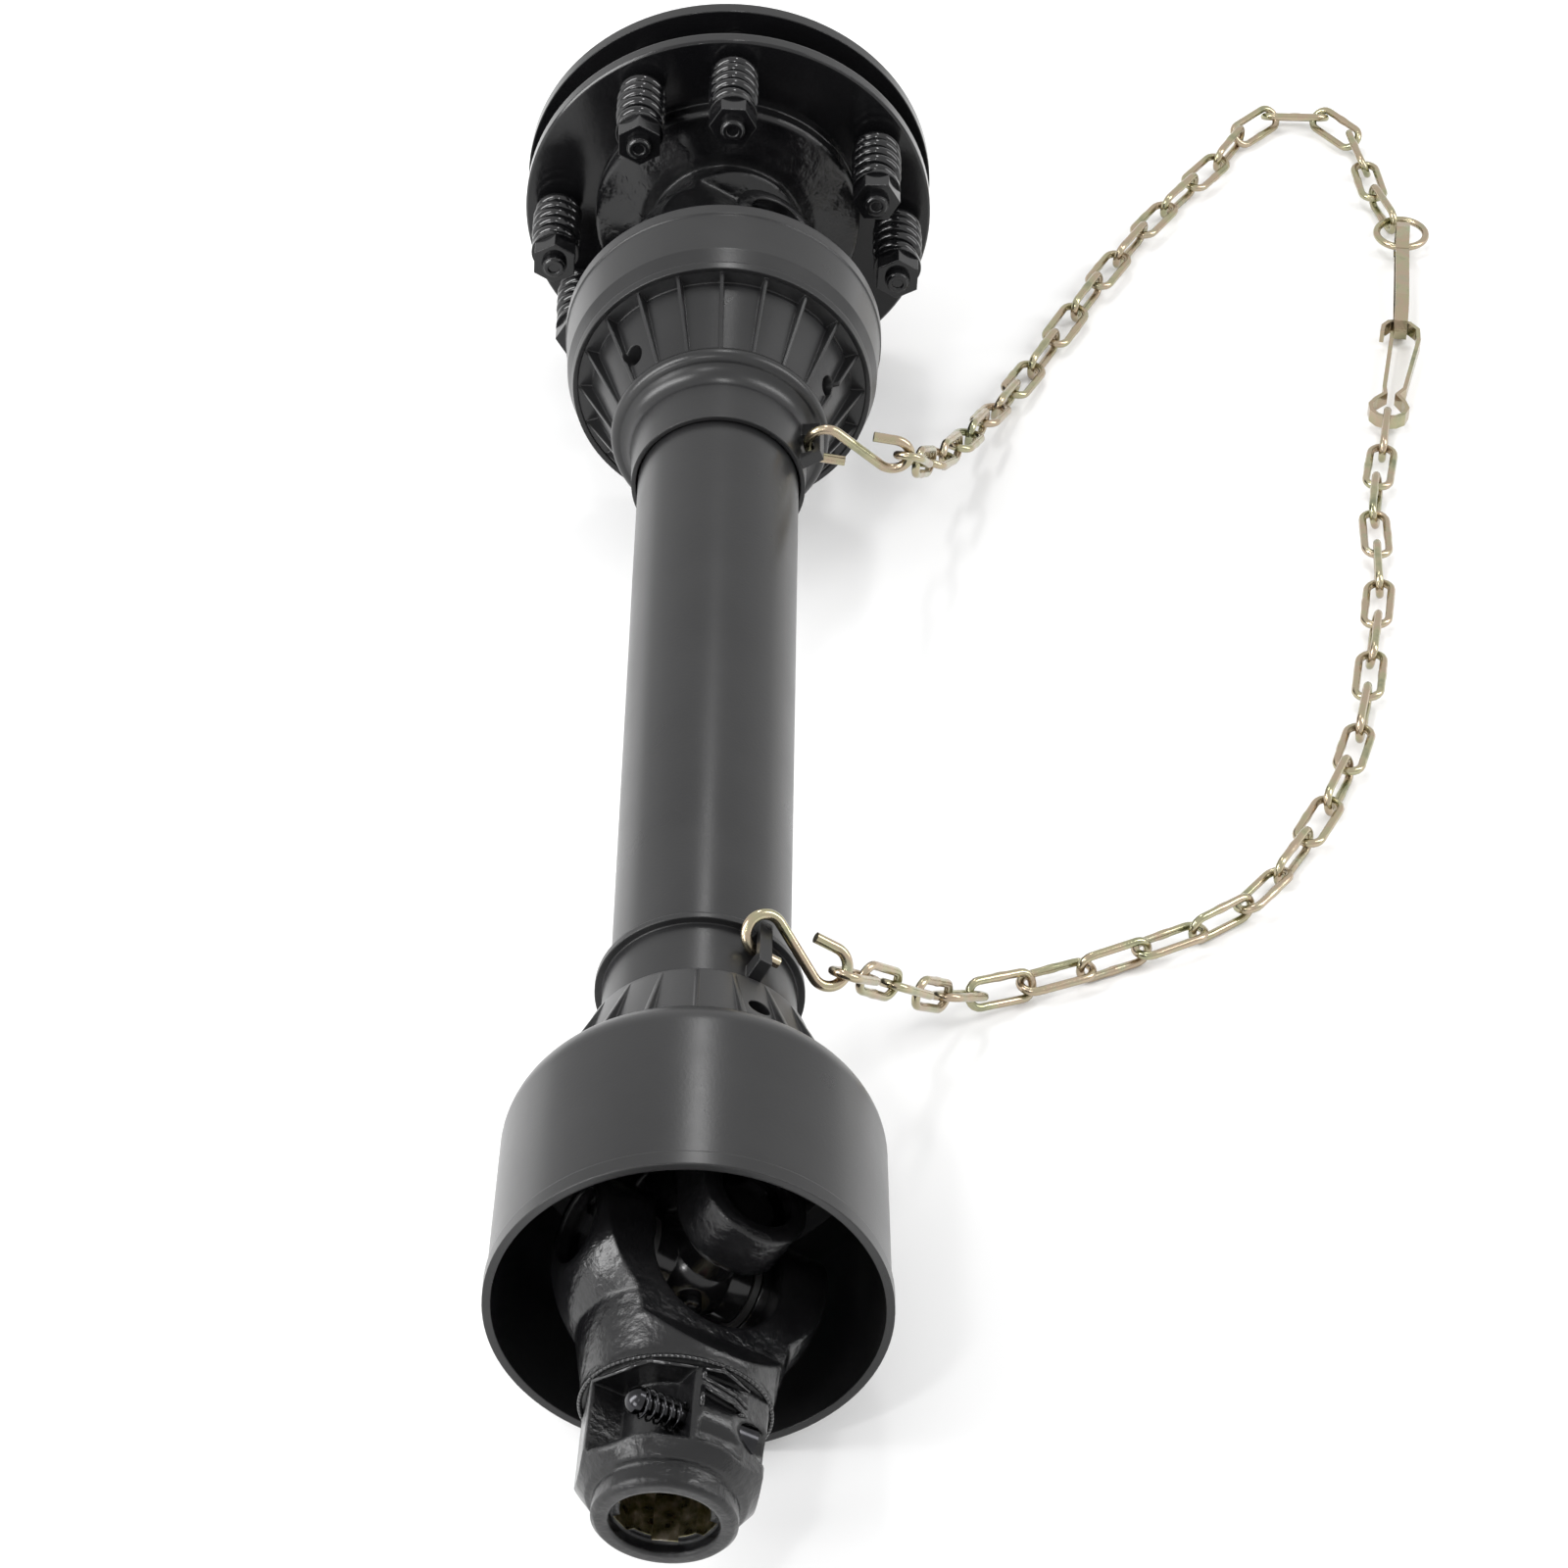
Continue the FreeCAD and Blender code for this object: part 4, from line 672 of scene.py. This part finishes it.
# Outer edges of a node that are sharp and whose ends both pass a test
def sharpEdges(nodeName, sharpness, passes):
    node = frame["nodes"][nodeName]
    points = [node.matrix_world @ vertex.co for vertex in node.data.vertices]
    keyOf = [tuple(round(value, sameSpot["edges"]) for value in point) for point in points]
    around = {}
    for face in node.data.polygons:
        keys = [keyOf[index] for index in face.vertices]
        spots = [points[index] for index in face.vertices]
        normal = (spots[1] - spots[0]).cross(spots[2] - spots[0])
        if normal.length == 0:
            continue
        normal.normalize()
        middle = sum(spots, Vector()) / len(spots)
        for a, b in zip(keys, keys[1:] + keys[:1]):
            if a != b:
                around.setdefault((min(a, b), max(a, b)), []).append((normal, middle))
    sharp = []
    for (a, b), faces in around.items():
        if len(faces) != 2 or not passes(Vector(a)) or not passes(Vector(b)):
            continue
        first, (second, secondMiddle) = faces[0][0], faces[1]
        outward = first.dot(secondMiddle - Vector(a)) < 0
        if first.dot(second) < sharpness and outward:
            sharp.append((a, b))
    return sharp


# Edges that touch, gathered into runs
def runsOf(edges):
    runs = []
    for a, b in edges:
        touching = [run for run in runs if a in run["ends"] or b in run["ends"]]
        merged = {"ends": {a, b}, "edges": [(a, b)]}
        for run in touching:
            merged["ends"] |= run["ends"]
            merged["edges"] += run["edges"]
            runs.remove(run)
        runs.append(merged)
    return runs


def ball(centre, radius, steps, poleShare, sides):
    turns = [math.pi * step / steps for step in range(steps + 1)]
    arc = [(radius * math.sin(turn), -radius * math.cos(turn)) for turn in turns]
    arc[0], arc[-1] = (radius * poleShare, -radius), (radius * poleShare, radius)
    return lathe(centre, Vector((0, 1, 0)), arc, sides)


def dressWindows():
    radius, sides = windowRim["radius"], windowRim["sides"]
    groups, ends = [], []
    for run in runsOf(sharpEdges("end_yoke", windowRim["sharpness"], onRim)):
        edges = [(Vector(a), Vector(b)) for a, b in run["edges"]]
        if sum((a - b).length for a, b in edges) > windowRim["shortest"]:
            groups += [wire([a, b], [radius] * 2, sides, False) for a, b in edges]
            ends += sorted(run["ends"])
    for end in ends:
        groups.append(ball(Vector(end), radius, windowRim["ballSteps"], windowRim["poleShare"], sides))
    points, faces = joined(groups)
    rims = addPiece("windowRims", points, faces, "springPaint")
    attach(rims, "end_yoke")
    print("window rims from %d pieces" % len(groups))


dressWindows()
